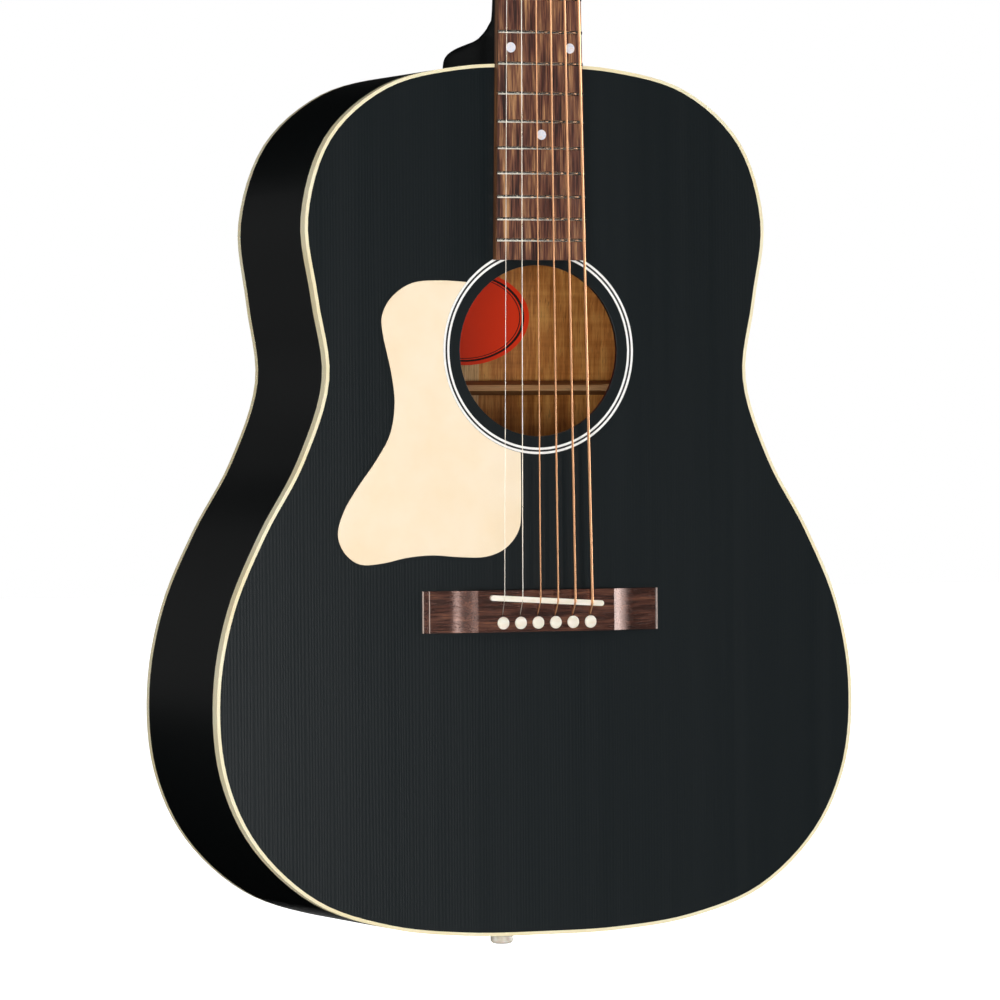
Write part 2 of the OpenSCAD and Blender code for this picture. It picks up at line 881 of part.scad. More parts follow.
// Across the bridge and up from the top's face
module bridge_profile() {
    difference() {
        translate([-bridge_length / 2, 0])
            square([bridge_length, bridge_height]);
        for (s = [-1, 1]) {
            translate([s * (bridge_middle / 2 + scoop_reach), wing_height + scoop_radius])
                circle(scoop_radius, $fn = 96);
            translate([s * (bridge_middle / 2 + scoop_reach + bridge_length / 2), wing_height + 20])
                square([bridge_length, 40], center = true);
            translate([s * bridge_length / 2, wing_height])
                rotate(45)
                    square(end_bevel * sqrt(2), center = true);
        }
    }
}

module saddle_bar(low, high, gap) {
    translate([0, above_top(low), saddle_mid_z])
        rotate([0, saddle_slant, 0])
            rotate([90, 0, 0])
                linear_extrude(high - low) {
                    square([saddle_length - saddle_thickness + 2 * gap, saddle_thickness + 2 * gap],
                        center = true);
                    for (s = [-1, 1])
                        translate([s * (saddle_length - saddle_thickness) / 2, 0])
                            circle(saddle_thickness / 2 + gap, $fn = 48);
                }
}

module bridge() {
    color("#5a3428")
        difference() {
            translate([0, 0, bridge_low_z])
                linear_extrude(bridge_width)
                    translate([0, top_y])
                        mirror([0, 1])
                            bridge_profile();
            saddle_bar(bridge_height - saddle_slot_depth, bridge_height + over, glue_gap);
            pin_bores(bore_radius, -over, bridge_height + over);
            for (i = [0 : 5]) {
                string_channel(string_bend(i), string_ramp(i), string_radius(i) + 0.1, 3, 0);
                string_channel(string_ramp(i), string_saddle(i), string_radius(i) + 0.1, 0, 0);
            }
        }
}

module saddle() {
    color("#f4efe2")
        difference() {
            intersection() {
                saddle_bar(bridge_height - saddle_slot_depth, saddle_top + over, 0);
                translate([0, above_top(saddle_top) + crown_radius, pin_z - 20])
                    cylinder(r = crown_radius, h = 60, $fn = 256);
            }
            for (i = [0 : 5]) {
                string_channel(string_ramp(i), string_saddle(i), string_radius(i) + 0.05, 0.5, 0);
                string_channel(string_saddle(i), string_nut(i), string_radius(i) + 0.05, 0, 0.5);
            }
        }
}

pin_head_low = bridge_height + 0.1;
pin_head_high = pin_head_low + pin_head_height;

// A pin with a low domed head and a groove on the saddle's side
module bridge_pin(i) {
    difference() {
        translate([pin_x(i), top_y, pin_z])
            rotate([90, 0, 0])
                rotate_extrude()
                    polygon([[0, pin_head_low - pin_length], [pin_radius - 0.7, pin_head_low - pin_length],
                        [pin_radius, pin_head_low - pin_length + 2], [pin_radius, pin_head_low],
                        [pin_head_radius - 0.4, pin_head_low],
                        [pin_head_radius, pin_head_low + pin_head_height * 0.2],
                        [pin_head_radius, pin_head_low + pin_head_height * 0.5],
                        [pin_head_radius * 0.88, pin_head_low + pin_head_height * 0.75],
                        [pin_head_radius * 0.6, pin_head_low + pin_head_height * 0.92],
                        [0, pin_head_high]]);
        translate([pin_x(i) - 0.9, above_top(pin_head_low), pin_z + groove_floor])
            cube([1.8, pin_length + over, 10]);
        translate([pin_x(i) - 10, above_top(-top_thickness - bridge_plate_thickness + 0.5),
            pin_z + groove_floor])
            cube([20, pin_length, 10]);
    }
}

module bridge_pins() {
    color("#f4efe2")
        for (i = [0 : 5])
            bridge_pin(i);
}

// ---- end pin ----

module end_pin() {
    half = end_pin_head / 2;
    color("#efe9dc")
        rotate_extrude()
            polygon([[0, -half], [end_pin_head_radius * 0.55, -half],
                [end_pin_head_radius * 0.82, -half * 0.84], [end_pin_head_radius, -half * 0.42],
                [end_pin_head_radius, half * 0.42], [end_pin_head_radius * 0.88, half * 0.8],
                [end_pin_radius + 0.7, half], [end_pin_radius + 0.6, tail_z - 1.2],
                [end_pin_radius + 1.2, tail_z], [end_pin_radius, tail_z],
                [end_pin_radius, tail_z + end_pin_shank - 2],
                [end_pin_radius - 1, tail_z + end_pin_shank], [0, tail_z + end_pin_shank]]);
}

// ---- neck ----

function neck_half(z) =
    (nut_width + (joint_width - nut_width) * (nut_z - z) / (scale_length / 2)) / 2;
heel_reach = neck_depth - heel_cap_thickness;

// The heel's curve in side view: height above the body's end, and share of the body's depth
heel_curve = [[-4, 1], [0, 1], [4, 1], [8, 0.98], [11, 0.92], [13.4, 0.8], [15, 0.64], [16.6, 0.46],
    [19, 0.31], [24, 0.23], [32, 0.18], [50, 0]];
heel_rings = 3;
heel_end = heel_curve[len(heel_curve) - 1][0];
function shaft_depth(z) =
    neck_thickness + (neck_thickness_low - neck_thickness) * (nut_z - z) / (nut_z - body_end_z);
// The last point of the curve runs into the shaft
function heel_point(k) =
    [body_end_z + heel_curve[k][0], max(heel_curve[k][1] * neck_depth,
        shaft_depth(body_end_z + heel_curve[k][0]))];
heel_profile = [for (p = smooth([for (k = [0 : len(heel_curve) - 1]) heel_point(k)], heel_rings))
    [p[0], min(p[1], neck_depth)]];
shaft_rings = 8;
shaft_profile = [for (k = [1 : shaft_rings])
    let (z = body_end_z + heel_end + (nut_z - body_end_z - heel_end) * k / shaft_rings)
    [z, shaft_depth(z)]];
// Past the nut the wood thins out into the back of the head
throat = [[5, 0.99], [11, 0.94], [18, 0.82], [26, 0.6]];
neck_profile = concat(heel_profile, shaft_profile,
    [for (p = throat) [nut_z + p[0], neck_thickness * p[1]]]);

// Sections are oval in the shaft and nearly square, with a small crown, at the heel
section_points = 24;
shaft_square = 2.44;
heel_square = 10;
heel_crown = 0.012;
heel_taper = 45;
function neck_section(z, depth) =
    let (front = z > head_z ? (z - head_z) * tan(head_angle) + 0.3 : 0,
        half = neck_half(min(z, nut_z)),
        heel = min(1, max(0, (depth - 22) / 30)),
        square = shaft_square + (heel_square - shaft_square) * heel)
    [for (k = [0 : section_points])
        let (a = 180 * k / section_points,
            reach = pow(pow(abs(cos(a)), square) + pow(sin(a), square), 1 / square),
            across = cos(a) / reach,
            deep = sin(a) / reach * (1 - heel_crown * heel * across * across),
            narrow = min(1, depth * deep / heel_taper),
            wide = half + (heel_width / 2 - half) * heel * narrow * narrow * (3 - 2 * narrow))
        [wide * across, top_y + front + depth * deep, z]];

module neck_shaft() {
    rings = len(neck_profile);
    n = section_points + 1;
    points = [for (p = neck_profile) each neck_section(p[0], p[1])];
    faces = concat(
        [[for (k = [0 : n - 1]) k]],
        [for (r = [0 : rings - 2], k = [0 : n - 1])
            let (a = r * n + k, b = r * n + (k + 1) % n) each [[a, a + n, b], [b, a + n, b + n]]],
        [[for (k = [n - 1 : -1 : 0]) (rings - 1) * n + k]]);
    polyhedron(points, faces, convexity = 6);
}

// Half of the head's outline, across and up from its lower end, which starts just past the break
head_start = 0.5;
head_points = [[nut_width / 2, head_start], [nut_width / 2 + 0.6, 4], [nut_width / 2 + 4, 11],
    [head_width_low / 2 - 3.5, 19], [head_width_low / 2, 28], [head_width_low / 2 - 0.3, 50],
    [head_width_top / 2 + 1, head_length - 40], [head_width_top / 2, head_length - 17],
    [head_width_top / 2 - 3, head_length - 7], [head_width_top / 2 - 11, head_length - 3],
    [14, head_length - 1], [0, head_length]];
function head_outline() =
    let (half = smooth(head_points, 4)) concat(half,
        [for (k = [len(half) - 2 : -1 : 0]) flipped(half[k])]);

module head_slab(low, high) {
    on_head()
        translate([0, -low, 0])
            rotate([90, 0, 0])
                linear_extrude(high - low)
                    polygon(head_outline());
}

rod_y = top_y + rod_depth;
pocket_radius = 4.4;
rod_nut_start = 7;

module rod_pocket() {
    translate([0, rod_y, head_z + rod_nut_start - 1]) {
        cylinder(r = pocket_radius, h = 60);
        translate([-pocket_radius, -40, 0])
            cube([2 * pocket_radius, 40, 28]);
    }
}

module rod_channel(gap) {
    translate([0, rod_y, body_end_z + 14])
        cylinder(r = rod_radius + gap, h = head_z + rod_nut_start - body_end_z - 14);
    translate([-rod_radius - gap, top_y - over, body_end_z + 14])
        cube([2 * (rod_radius + gap), rod_depth + over, nut_z - body_end_z - 14 - over]);
    translate([-anchor_width / 2 - gap, top_y - over, body_end_z + 14 - gap])
        cube([anchor_width + 2 * gap, rod_depth + anchor_width / 2 + over + gap, 8 + 2 * gap]);
}
anchor_width = 9;

// The last of the heel's depth, which is the cap
module cap_zone() {
    slab(-neck_depth - over, -heel_reach)
        translate([-heel_width, body_end_z - heel_width])
            square(2 * heel_width);
}

module neck() {
    color("#17181a")
        difference() {
            union() {
                difference() {
                    neck_shaft();
                    cap_zone();
                    slab(-tail_depth - 20, over)
                        body_shape(0);
                }
                tenon(0);
                head_slab(-head_thickness, 0);
            }
            rod_channel(glue_gap);
            rod_pocket();
            for_each_post()
                rotate([-90, 0, 0])
                    translate([0, 0, -over]) {
                        cylinder(r = bushing_radius, h = bushing_length + over);
                        cylinder(r = post_radius + 0.5, h = head_thickness + 2 * over);
                    }
            for_each_screw()
                rotate([90, 0, 0])
                    cylinder(r = screw_radius, h = screw_length - plate_thickness);
            cover_screw_bores(cover_screw_radius);
        }
}

module heel_cap() {
    color("#17181a")
        difference() {
            intersection() {
                neck_shaft();
                cap_zone();
            }
            slab(-tail_depth - 20, over)
                body_shape(0);
        }
}

// ---- fretboard ----

function fret_z(n) = saddle_z + scale_length / pow(2, n / 12);
board_low_z = fret_z(fret_count + 1);

module board_plan(low, high) {
    slab(low, high)
        polygon([[-neck_half(nut_z), nut_z], [neck_half(nut_z), nut_z],
            [neck_half(board_low_z), board_low_z], [-neck_half(board_low_z), board_low_z]]);
}

module crown_axis() {
    translate([0, above_top(fretboard_thickness) + crown_radius, 0])
        children();
}

module fret_tangs() {
    crown_axis()
        rotate_extrude($fn = 256)
            for (n = [1 : fret_count])
                translate([crown_radius - tang_depth, fret_z(n) - tang_width / 2])
                    square([tang_depth + over, tang_width]);
}

module fretboard() {
    color("#6b4029")
        difference() {
            intersection() {
                board_plan(0, fretboard_thickness);
                crown_axis()
                    translate([0, 0, board_low_z - 5])
                        cylinder(r = crown_radius, h = nut_z - board_low_z + 10, $fn = 256);
            }
            fret_tangs();
            dot_cylinders();
        }
}

module frets() {
    color("#c9cacb")
        difference() {
            intersection() {
                board_plan(1, fretboard_thickness + fret_height + 1);
                crown_axis()
                    rotate_extrude($fn = 256)
                        for (n = [1 : fret_count])
                            translate([crown_radius, fret_z(n)])
                                polygon([[-tang_depth, -tang_width / 2], [0, -tang_width / 2],
                                    [0, -fret_width / 2], [fret_height * 0.6, -fret_width * 0.38],
                                    [fret_height, -fret_width * 0.14], [fret_height, fret_width * 0.14],
                                    [fret_height * 0.6, fret_width * 0.38], [0, fret_width / 2],
                                    [0, tang_width / 2], [-tang_depth, tang_width / 2]]);
            }
            for (s = [-1, 1])
                bevel_cutter(s);
        }
}

// Cuts the fret ends to a slope along one edge of the board
board_edge_height = fretboard_thickness - crown_drop(joint_width / 2);
module bevel_cutter(s) {
    taper = atan((joint_width - nut_width) / scale_length);
    translate([s * neck_half(nut_z), above_top(board_edge_height), nut_z])
        rotate([0, s * -taper, 0])
            rotate([0, 0, s * fret_bevel])
                translate([s > 0 ? 0 : -10, -12, -nut_z + board_low_z - 20])
                    cube([10, 24, nut_z - board_low_z + 40]);
}

// Dots: fret number, and distance from the centre line
single_dots = [3, 5, 7, 9, 15];
octave_dot_x = 19.1;
side_dots = [3, 5, 7, 9, 12, 15];
function between_frets(n) = (fret_z(n) + fret_z(n - 1)) / 2;

module face_dot(x, z) {
    translate([x, above_top(fretboard_thickness - crown_drop(x) - dot_depth), z])
        rotate([90, 0, 0])
            cylinder(r = dot_radius, h = 2 * dot_depth, $fn = 96);
}

module dot_cylinders() {
    for (n = single_dots)
        face_dot(0, between_frets(n));
    for (s = [-1, 1])
        face_dot(s * octave_dot_x, between_frets(12));
    for (n = side_dots)
        translate([neck_half(between_frets(n)) - dot_depth, above_top(fretboard_thickness * 0.45),
            between_frets(n)])
            rotate([0, 90, 0])
                cylinder(r = side_dot_radius, h = 2 * dot_depth, $fn = 96);
}

module position_dots() {
    color("#e9e9ec")
        intersection() {
            dot_cylinders();
            board_plan(0, fretboard_thickness);
            crown_axis()
                translate([0, 0, board_low_z - 5])
                    cylinder(r = crown_radius, h = nut_z - board_low_z + 10, $fn = 256);
        }
}

// ---- nut ----

nut_height = fret_top + nut_action + 0.25;
module nut() {
    color("#f4efe2")
        difference() {
            intersection() {
                translate([-nut_width / 2, above_top(nut_height), nut_z])
                    cube([nut_width, nut_height, nut_thickness]);
                crown_axis()
                    translate([0, 0, nut_z - over])
                        cylinder(r = crown_radius + nut_height - fretboard_thickness,
                            h = nut_thickness + 2 * over, $fn = 256);
                translate([-nut_width, above_top(nut_height), nut_z])
                    rotate([-head_angle * 0.7, 0, 0])
                        translate([0, 0, -10])
                            cube([2 * nut_width, 30, 30]);
            }
            for (i = [0 : 5]) {
                string_channel(string_nut(i), string_touch(i), string_radius(i) + 0.05, 0, 0.5);
                string_channel(string_saddle(i), string_nut(i), string_radius(i) + 0.05, 0.5, 0);
            }
        }
}

// ---- truss rod ----

module truss_rod() {
    color("#8b8d90") {
        translate([0, rod_y, body_end_z + 14])
            cylinder(r = rod_radius, h = head_z + rod_nut_start + rod_nut_length + 1 - body_end_z - 14);
        translate([-anchor_width / 2, rod_y - anchor_width / 2, body_end_z + 14])
            cube([anchor_width, anchor_width, 8]);
    }
}

module truss_rod_nut() {
    color("#b08d4a")
        translate([0, rod_y, head_z + rod_nut_start])
            difference() {
                cylinder(r = pocket_radius - 0.6, h = rod_nut_length, $fn = 6);
                translate([0, 0, -over])
                    cylinder(r = rod_radius + running_gap, h = rod_nut_length + 2 * over);
            }
}

cover_screw_radius = 1;
cover_screw_spots = [[-9, 8], [9, 8], [0, 44]];

// Rounded three-cornered plate over the rod's pocket
module rod_cover() {
    color("#141414")
        difference() {
            on_head()
                translate([0, -veneer_thickness, 0])
                    rotate([90, 0, 0])
                        linear_extrude(cover_thickness)
                            polygon(concat(arc([12 - 4, 3 + 4], 4, -90, 10), arc([0, 45], 5, 10, 170),
                                arc([-12 + 4, 3 + 4], 4, 170, 270)));
            cover_screw_bores(cover_screw_radius);
        }
}

function arc(centre, r, from, to, steps = 8) =
    [for (k = [0 : steps])
        let (a = from + (to - from) * k / steps) centre + r * [cos(a), sin(a)]];

module cover_screw_bores(r) {
    on_head()
        for (p = cover_screw_spots)
            translate([p[0], 6, p[1]])
                rotate([90, 0, 0])
                    cylinder(r = r, h = 20, $fn = 32);
}

module screw(r, head_r, length, head_height) {
    difference() {
        union() {
            cylinder(r = r, h = length, $fn = 32);
            translate([0, 0, length])
                intersection() {
                    cylinder(r = head_r, h = head_height, $fn = 48);
                    translate([0, 0, head_height - head_r * 1.6])
                        sphere(head_r * 1.6, $fn = 48);
                }
        }
        translate([0, 0, length + head_height])
            cube([2 * head_r + over, 0.5, head_height], center = true);
    }
}

module cover_screws() {
    color("#c9cacb")
        on_head()
            for (p = cover_screw_spots)
                translate([p[0], 6, p[1]])
                    rotate([90, 0, 0])
                        screw(cover_screw_radius, 2, 6 + veneer_thickness + cover_thickness, 1);
}

module head_veneer() {
    color("#0f0f10")
        difference() {
            head_slab(0, veneer_thickness);
            rod_pocket();
            for_each_post()
                rotate([90, 0, 0])
                    translate([0, 0, -over])
                        cylinder(r = bushing_radius, h = veneer_thickness + 2 * over);
            cover_screw_bores(cover_screw_radius);
        }
}

// ---- tuners ----

bushing_radius = 4.4;
bushing_length = 8;
bushing_flange = 1.2;
screw_radius = 1.2;
screw_length = 10;
plate_y = head_thickness;
collar_y = plate_y + plate_thickness + 0.1;
wheel_y = collar_y + 2.1;
shaft_y = wheel_y + wheel_thickness / 2;
worm_pitch = 2 * PI * wheel_radius / wheel_teeth;
worm_rise = wheel_radius + thread_radius - 0.5;
wheel_root = wheel_radius - 0.8;
wheel_tip = wheel_radius + 0.65;
ear_gap = 6.4;
ear_thickness = 1.6;
button_start = head_width_low / 2 + 4;

module for_each_post() {
    on_head()
        for (s = [-1, 1], row = [0 : 2])
            translate([s * post_offset, 0, post_z(row)])
                children();
}

plate_low = first_post - 18;
plate_high = first_post + 2 * post_pitch + 28;
screw_levels = [first_post - 12, first_post + post_pitch * 0.62,
    first_post + post_pitch * 1.62, first_post + post_pitch * 2 + 22];

module for_each_screw() {
    on_head()
        for (s = [-1, 1], v = screw_levels)
            translate([s * post_offset, plate_y, v])
                children();
}

module tuner_plates() {
    color("#b9bbbd")
        difference() {
            on_head()
                for (s = [-1, 1]) {
                    translate([s * post_offset, plate_y, 0])
                        rotate([-90, 0, 0])
                            linear_extrude(plate_thickness)
                                translate([-plate_width / 2, -plate_high])
                                    square([plate_width, plate_high - plate_low]);
                    for (row = [0 : 2], side = [-1, 1])
                        translate([s * post_offset + side * (ear_gap + ear_thickness / 2)
                            - ear_thickness / 2, plate_y + plate_thickness / 2, post_z(row) + worm_rise])
                            bearing_ear();
                }
            for_each_post() {
                rotate([-90, 0, 0])
                    cylinder(r = post_radius + running_gap, h = plate_y + plate_thickness + over);
                translate([-plate_width, shaft_y, worm_rise])
                    rotate([0, 90, 0])
                        cylinder(r = shaft_radius + running_gap, h = 2 * plate_width);
            }
            for_each_screw()
                rotate([-90, 0, 0])
                    translate([0, 0, -over])
                        cylinder(r = screw_radius + 0.1, h = plate_thickness + 2 * over);
        }
}

// An upright ear that carries one end of a worm shaft
module bearing_ear() {
    rise = shaft_y - plate_y - plate_thickness / 2;
    rotate([90, 0, 90])
        linear_extrude(ear_thickness) {
            translate([0, -4])
                square([rise, 8]);
            translate([rise, 0])
                circle(4);
        }
}

module tuner_bushings() {
    color("#c9cacb")
        for_each_post()
            rotate([90, 0, 0])
                difference() {
                    union() {
                        translate([0, 0, -bushing_length])
                            cylinder(r = bushing_radius, h = bushing_length + veneer_thickness);
                        translate([0, 0, veneer_thickness])
                            cylinder(r = bushing_radius + 1.8, h = bushing_flange);
                    }
                    translate([0, 0, -bushing_length - over])
                        cylinder(r = post_radius + running_gap, h = 40);
                }
}

module tuner_screws() {
    color("#c9cacb")
        for_each_screw()
            rotate([-90, 0, 0])
                translate([0, 0, plate_thickness - screw_length])
                    screw(screw_radius, 2.4, screw_length, 1.4);
}

function tooth(k) =
    let (a = (k + 0.5) * 360 / wheel_teeth + 90, half_low = 0.62, half_high = 0.3)
    [for (p = [[wheel_root, -half_low], [wheel_tip, -half_high],
        [wheel_tip, half_high], [wheel_root, half_low]])
        [p[0] * cos(a) - p[1] * sin(a), p[0] * sin(a) + p[1] * cos(a)]];

module worm_wheel() {
    linear_extrude(wheel_thickness)
        polygon([for (k = [0 : wheel_teeth - 1]) each tooth(k)]);
}

// A post with its string hole, waist, collar and worm wheel, along the head's own axis
module string_post(i) {
    top = veneer_thickness + post_height;
    color("#c9cacb")
        on_head()
            translate([string_side(i) * post_offset, 0, post_z(string_post_rows[i])]) {
                difference() {
                    rotate([90, 0, 0])
                        rotate_extrude()
                            polygon([[0, -wheel_y], [4.6, -wheel_y], [4.6, -collar_y],
                                [post_radius, -collar_y], [post_radius, veneer_thickness + 1.6],
                                [waist_radius, veneer_thickness + 2.2], [waist_radius, wrap_top + 1.2],
                                [post_radius, wrap_top + 1.8], [post_radius, top - 0.8],
                                [post_radius - 0.8, top], [0, top]]);
                    translate([0, -wrap_top - 3.4, -10])
                        cylinder(r = 0.9, h = 20, $fn = 24);
                }
                translate([0, wheel_y, 0])
                    rotate([90, 0, 0])
                        mirror([0, 0, 1])
                            worm_wheel();
                translate([0, wheel_y + wheel_thickness, 0])
                    rotate([-90, 0, 0])
                        cylinder(r = 2.4, h = 1.2);
            }
}

thread_turns = 3;
thread_steps = 20;
thread_length = worm_pitch * thread_turns;

// The worm's thread along +X, with its middle turn facing -Z at the origin
module worm_thread() {
    count = thread_turns * thread_steps;
    half_low = 0.75;
    half_high = 0.3;
    section = [[shaft_radius - 0.3, -half_low], [thread_radius, -half_high],
        [thread_radius, half_high], [shaft_radius - 0.3, half_low]];
    points = [for (k = [0 : count])
        let (a = 360 * k / thread_steps - 90, x = worm_pitch * (k / thread_steps - thread_turns / 2))
        each [for (p = section) [x + p[1], p[0] * cos(a + 180 * (thread_turns % 2)),
            p[0] * sin(a + 180 * (thread_turns % 2))]]];
    faces = concat([[3, 2, 1, 0]],
        [for (k = [0 : count - 1], j = [0 : 3])
            let (a = 4 * k + j, b = 4 * k + (j + 1) % 4) each [[a, b, b + 4], [a, b + 4, a + 4]]],
        [[for (j = [0 : 3]) 4 * count + j]]);
    polyhedron(points, faces, convexity = 10);
}

module at_worm(i) {
    on_head()
        translate([string_side(i) * post_offset, shaft_y, post_z(string_post_rows[i]) + worm_rise])
            children();
}

module worm_shaft(i) {
    s = string_side(i);
    inner = ear_gap + ear_thickness;
    button_x = button_start - post_offset;
    color("#c9cacb")
        at_worm(i)
            mirror([s < 0 ? 1 : 0, 0, 0]) {
                worm_thread();
                translate([-inner - 1.4, 0, 0])
                    rotate([0, 90, 0]) {
                        cylinder(r = 2.6, h = 1.3);
                        cylinder(r = shaft_radius, h = inner + 1.4 + button_x + button_length * 0.7);
                    }
                translate([inner + 0.1, 0, 0])
                    rotate([0, 90, 0])
                        cylinder(r = 2.8, h = button_x - inner - 0.1);
            }
}

module tuner_button(i) {
    s = string_side(i);
    r = button_radius;
    lens = 30;
    color("#efe6cf")
        at_worm(i)
            mirror([s < 0 ? 1 : 0, 0, 0])
                translate([button_start - post_offset, 0, 0])
                    difference() {
                        intersection() {
                            rotate([0, 90, 0])
                                rotate_extrude()
                                    polygon(concat([[0, 0]], smooth([[r * 0.34, 0], [r * 0.4, 1.6],
                                        [r * 0.8, 4], [r, 8], [r * 0.98, 11.5], [r * 0.8, 14.8],
                                        [r * 0.45, button_length - 0.4], [0, button_length]], 3)));
                            for (f = [-1, 1])
                                translate([button_length * 0.5, f * (lens - button_thickness / 2),
                                    -button_radius])
                                    if (f > 0) intersection() {
                                        cylinder(r = lens, h = 2 * button_radius, $fn = 128);
                                        translate([0, -2 * lens + button_thickness, 0])
                                            cylinder(r = lens, h = 2 * button_radius, $fn = 128);
                                    }
                        }
                        rotate([0, 90, 0])
                            cylinder(r = shaft_radius + glue_gap, h = button_length * 0.7 + glue_gap);
                    }
}

module string_post_1() { string_post(0); }
module string_post_2() { string_post(1); }
module string_post_3() { string_post(2); }
module string_post_4() { string_post(3); }
module string_post_5() { string_post(4); }
module string_post_6() { string_post(5); }
module worm_shaft_1() { worm_shaft(0); }
module worm_shaft_2() { worm_shaft(1); }
module worm_shaft_3() { worm_shaft(2); }
module worm_shaft_4() { worm_shaft(3); }
module worm_shaft_5() { worm_shaft(4); }
module worm_shaft_6() { worm_shaft(5); }
module tuner_button_1() { tuner_button(0); }
module tuner_button_2() { tuner_button(1); }
module tuner_button_3() { tuner_button(2); }
module tuner_button_4() { tuner_button(3); }
module tuner_button_5() { tuner_button(4); }
module tuner_button_6() { tuner_button(5); }

top();
back();
side_treble();
side_bass();
top_binding();
back_binding();
top_lining();
back_lining();
neck_block();
tail_block();
rosette();
finger_plate();
x_brace();
top_braces();
bridge_plate();
back_braces();
back_strip();
label();
bridge();
saddle();
bridge_pins();
string_1();
string_2();
string_3();
string_4();
string_5();
string_6();
end_pin();
neck();
heel_cap();
fretboard();
frets();
position_dots();
nut();
truss_rod();
truss_rod_nut();
rod_cover();
cover_screws();
head_veneer();
tuner_plates();
tuner_bushings();
tuner_screws();
string_post_1();
string_post_2();
string_post_3();
string_post_4();
string_post_5();
string_post_6();
worm_shaft_1();
worm_shaft_2();
worm_shaft_3();
worm_shaft_4();
worm_shaft_5();
worm_shaft_6();
tuner_button_1();
tuner_button_2();
tuner_button_3();
tuner_button_4();
tuner_button_5();
tuner_button_6();
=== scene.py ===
import json
import math

import bmesh
import bpy
from mathutils import Matrix, Vector


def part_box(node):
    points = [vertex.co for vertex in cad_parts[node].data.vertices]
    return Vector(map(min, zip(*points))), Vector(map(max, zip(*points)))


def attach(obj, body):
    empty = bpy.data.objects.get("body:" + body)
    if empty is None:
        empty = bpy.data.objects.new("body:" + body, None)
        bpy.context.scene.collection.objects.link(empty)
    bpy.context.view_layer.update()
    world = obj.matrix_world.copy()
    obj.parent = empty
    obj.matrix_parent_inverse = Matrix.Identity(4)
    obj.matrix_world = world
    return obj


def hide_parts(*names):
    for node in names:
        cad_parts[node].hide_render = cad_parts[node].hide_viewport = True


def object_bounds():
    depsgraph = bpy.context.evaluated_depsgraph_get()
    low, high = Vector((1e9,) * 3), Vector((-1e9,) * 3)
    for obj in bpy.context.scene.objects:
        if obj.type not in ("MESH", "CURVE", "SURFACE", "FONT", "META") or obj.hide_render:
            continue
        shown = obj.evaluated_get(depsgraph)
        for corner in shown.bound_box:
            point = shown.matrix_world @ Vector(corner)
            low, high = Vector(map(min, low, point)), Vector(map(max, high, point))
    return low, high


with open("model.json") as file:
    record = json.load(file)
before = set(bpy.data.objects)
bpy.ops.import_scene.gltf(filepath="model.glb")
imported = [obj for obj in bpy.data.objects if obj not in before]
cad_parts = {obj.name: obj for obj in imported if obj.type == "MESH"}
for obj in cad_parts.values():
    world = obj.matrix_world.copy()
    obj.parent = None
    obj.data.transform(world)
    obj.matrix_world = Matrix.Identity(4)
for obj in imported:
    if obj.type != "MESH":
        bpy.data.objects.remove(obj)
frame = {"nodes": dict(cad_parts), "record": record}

solid_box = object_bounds()

# ---- Camera ----
# A long lens looks at the guitar's front from 23 degrees round to the treble side, at
# about the height of the soundhole. The head is above the picture.
camera = bpy.data.objects.new("camera", bpy.data.cameras.new("camera"))
bpy.context.scene.collection.objects.link(camera)
camera.data.sensor_width = 36
camera.data.lens = 219.5
camera_right = Vector((0.91868, -0.39494, -0.00733))
camera_up = Vector((0.01021, 0.00518, 0.99993))
camera_back = Vector((-0.39488, -0.91869, 0.00879))
camera_place = Vector((-1.4522, -3.3806, 0.2970))
turned = Matrix((camera_right, camera_up, camera_back)).transposed().to_4x4()
camera.matrix_world = Matrix.Translation(camera_place) @ turned
camera.data.clip_start = 0.1
camera.data.clip_end = 40
bpy.context.scene.camera = camera
bpy.context.scene.view_settings.view_transform = "Standard"

# ---- Sides and back ----
# The sides are two strips of mahogany, bent over a hot iron and joined at the tail.
# Satin black lacquer covers them and the arched back outside. Inside, the wood is bare.


def linear(hexes):
    """Turns an sRGB hex colour to the linear one that a shader reads."""
    parts = [int(hexes[k:k + 2], 16) / 255 for k in (1, 3, 5)]
    return [p / 12.92 if p <= 0.04045 else ((p + 0.055) / 1.055) ** 2.4 for p in parts] + [1]


def add(tree, kind, links=None, stops=None, **settings):
    """Adds a node with its settings, its inputs' values or links, and a ramp's stops."""
    made = tree.nodes.new(kind)
    for name, value in settings.items():
        setattr(made, name, value)
    for socket, value in (links or {}).items():
        if isinstance(value, bpy.types.NodeSocket):
            tree.links.new(value, made.inputs[socket])
        else:
            made.inputs[socket].default_value = value
    for k, (place, hexes) in enumerate(stops or []):
        if k > 1:
            made.color_ramp.elements.new(place)
        made.color_ramp.elements[k].position = place
        made.color_ramp.elements[k].color = linear(hexes)
    return made


def begin(name, hexes, roughness, **sockets):
    """Starts a finish with the values that are the same all over the surface."""
    material = bpy.data.materials.new(name)
    material.use_nodes = True
    tree = material.node_tree
    shader = tree.nodes["Principled BSDF"]
    shader.inputs["Base Color"].default_value = linear(hexes)
    shader.inputs["Roughness"].default_value = roughness
    for socket, value in sockets.items():
        shader.inputs[socket.replace("_", " ")].default_value = value
    place = add(tree, "ShaderNodeTexCoord").outputs["Object"]
    return material, tree, shader, place


def noise(tree, place, scale, detail, twist=0.0, grit=0.5):
    """Adds a soft random pattern, with one scale for all its axes or a scale for each. Its
    patches are one metre over the scale, and nearly all its values are from 0.3 to 0.7."""
    if not isinstance(scale, (int, float)):
        place = add(tree, "ShaderNodeMapping", {"Vector": place, "Scale": scale}).outputs[0]
        scale = 1
    return add(tree, "ShaderNodeTexNoise", {
        "Vector": place, "Scale": scale, "Detail": detail, "Roughness": grit,
        "Distortion": twist}).outputs["Fac"]


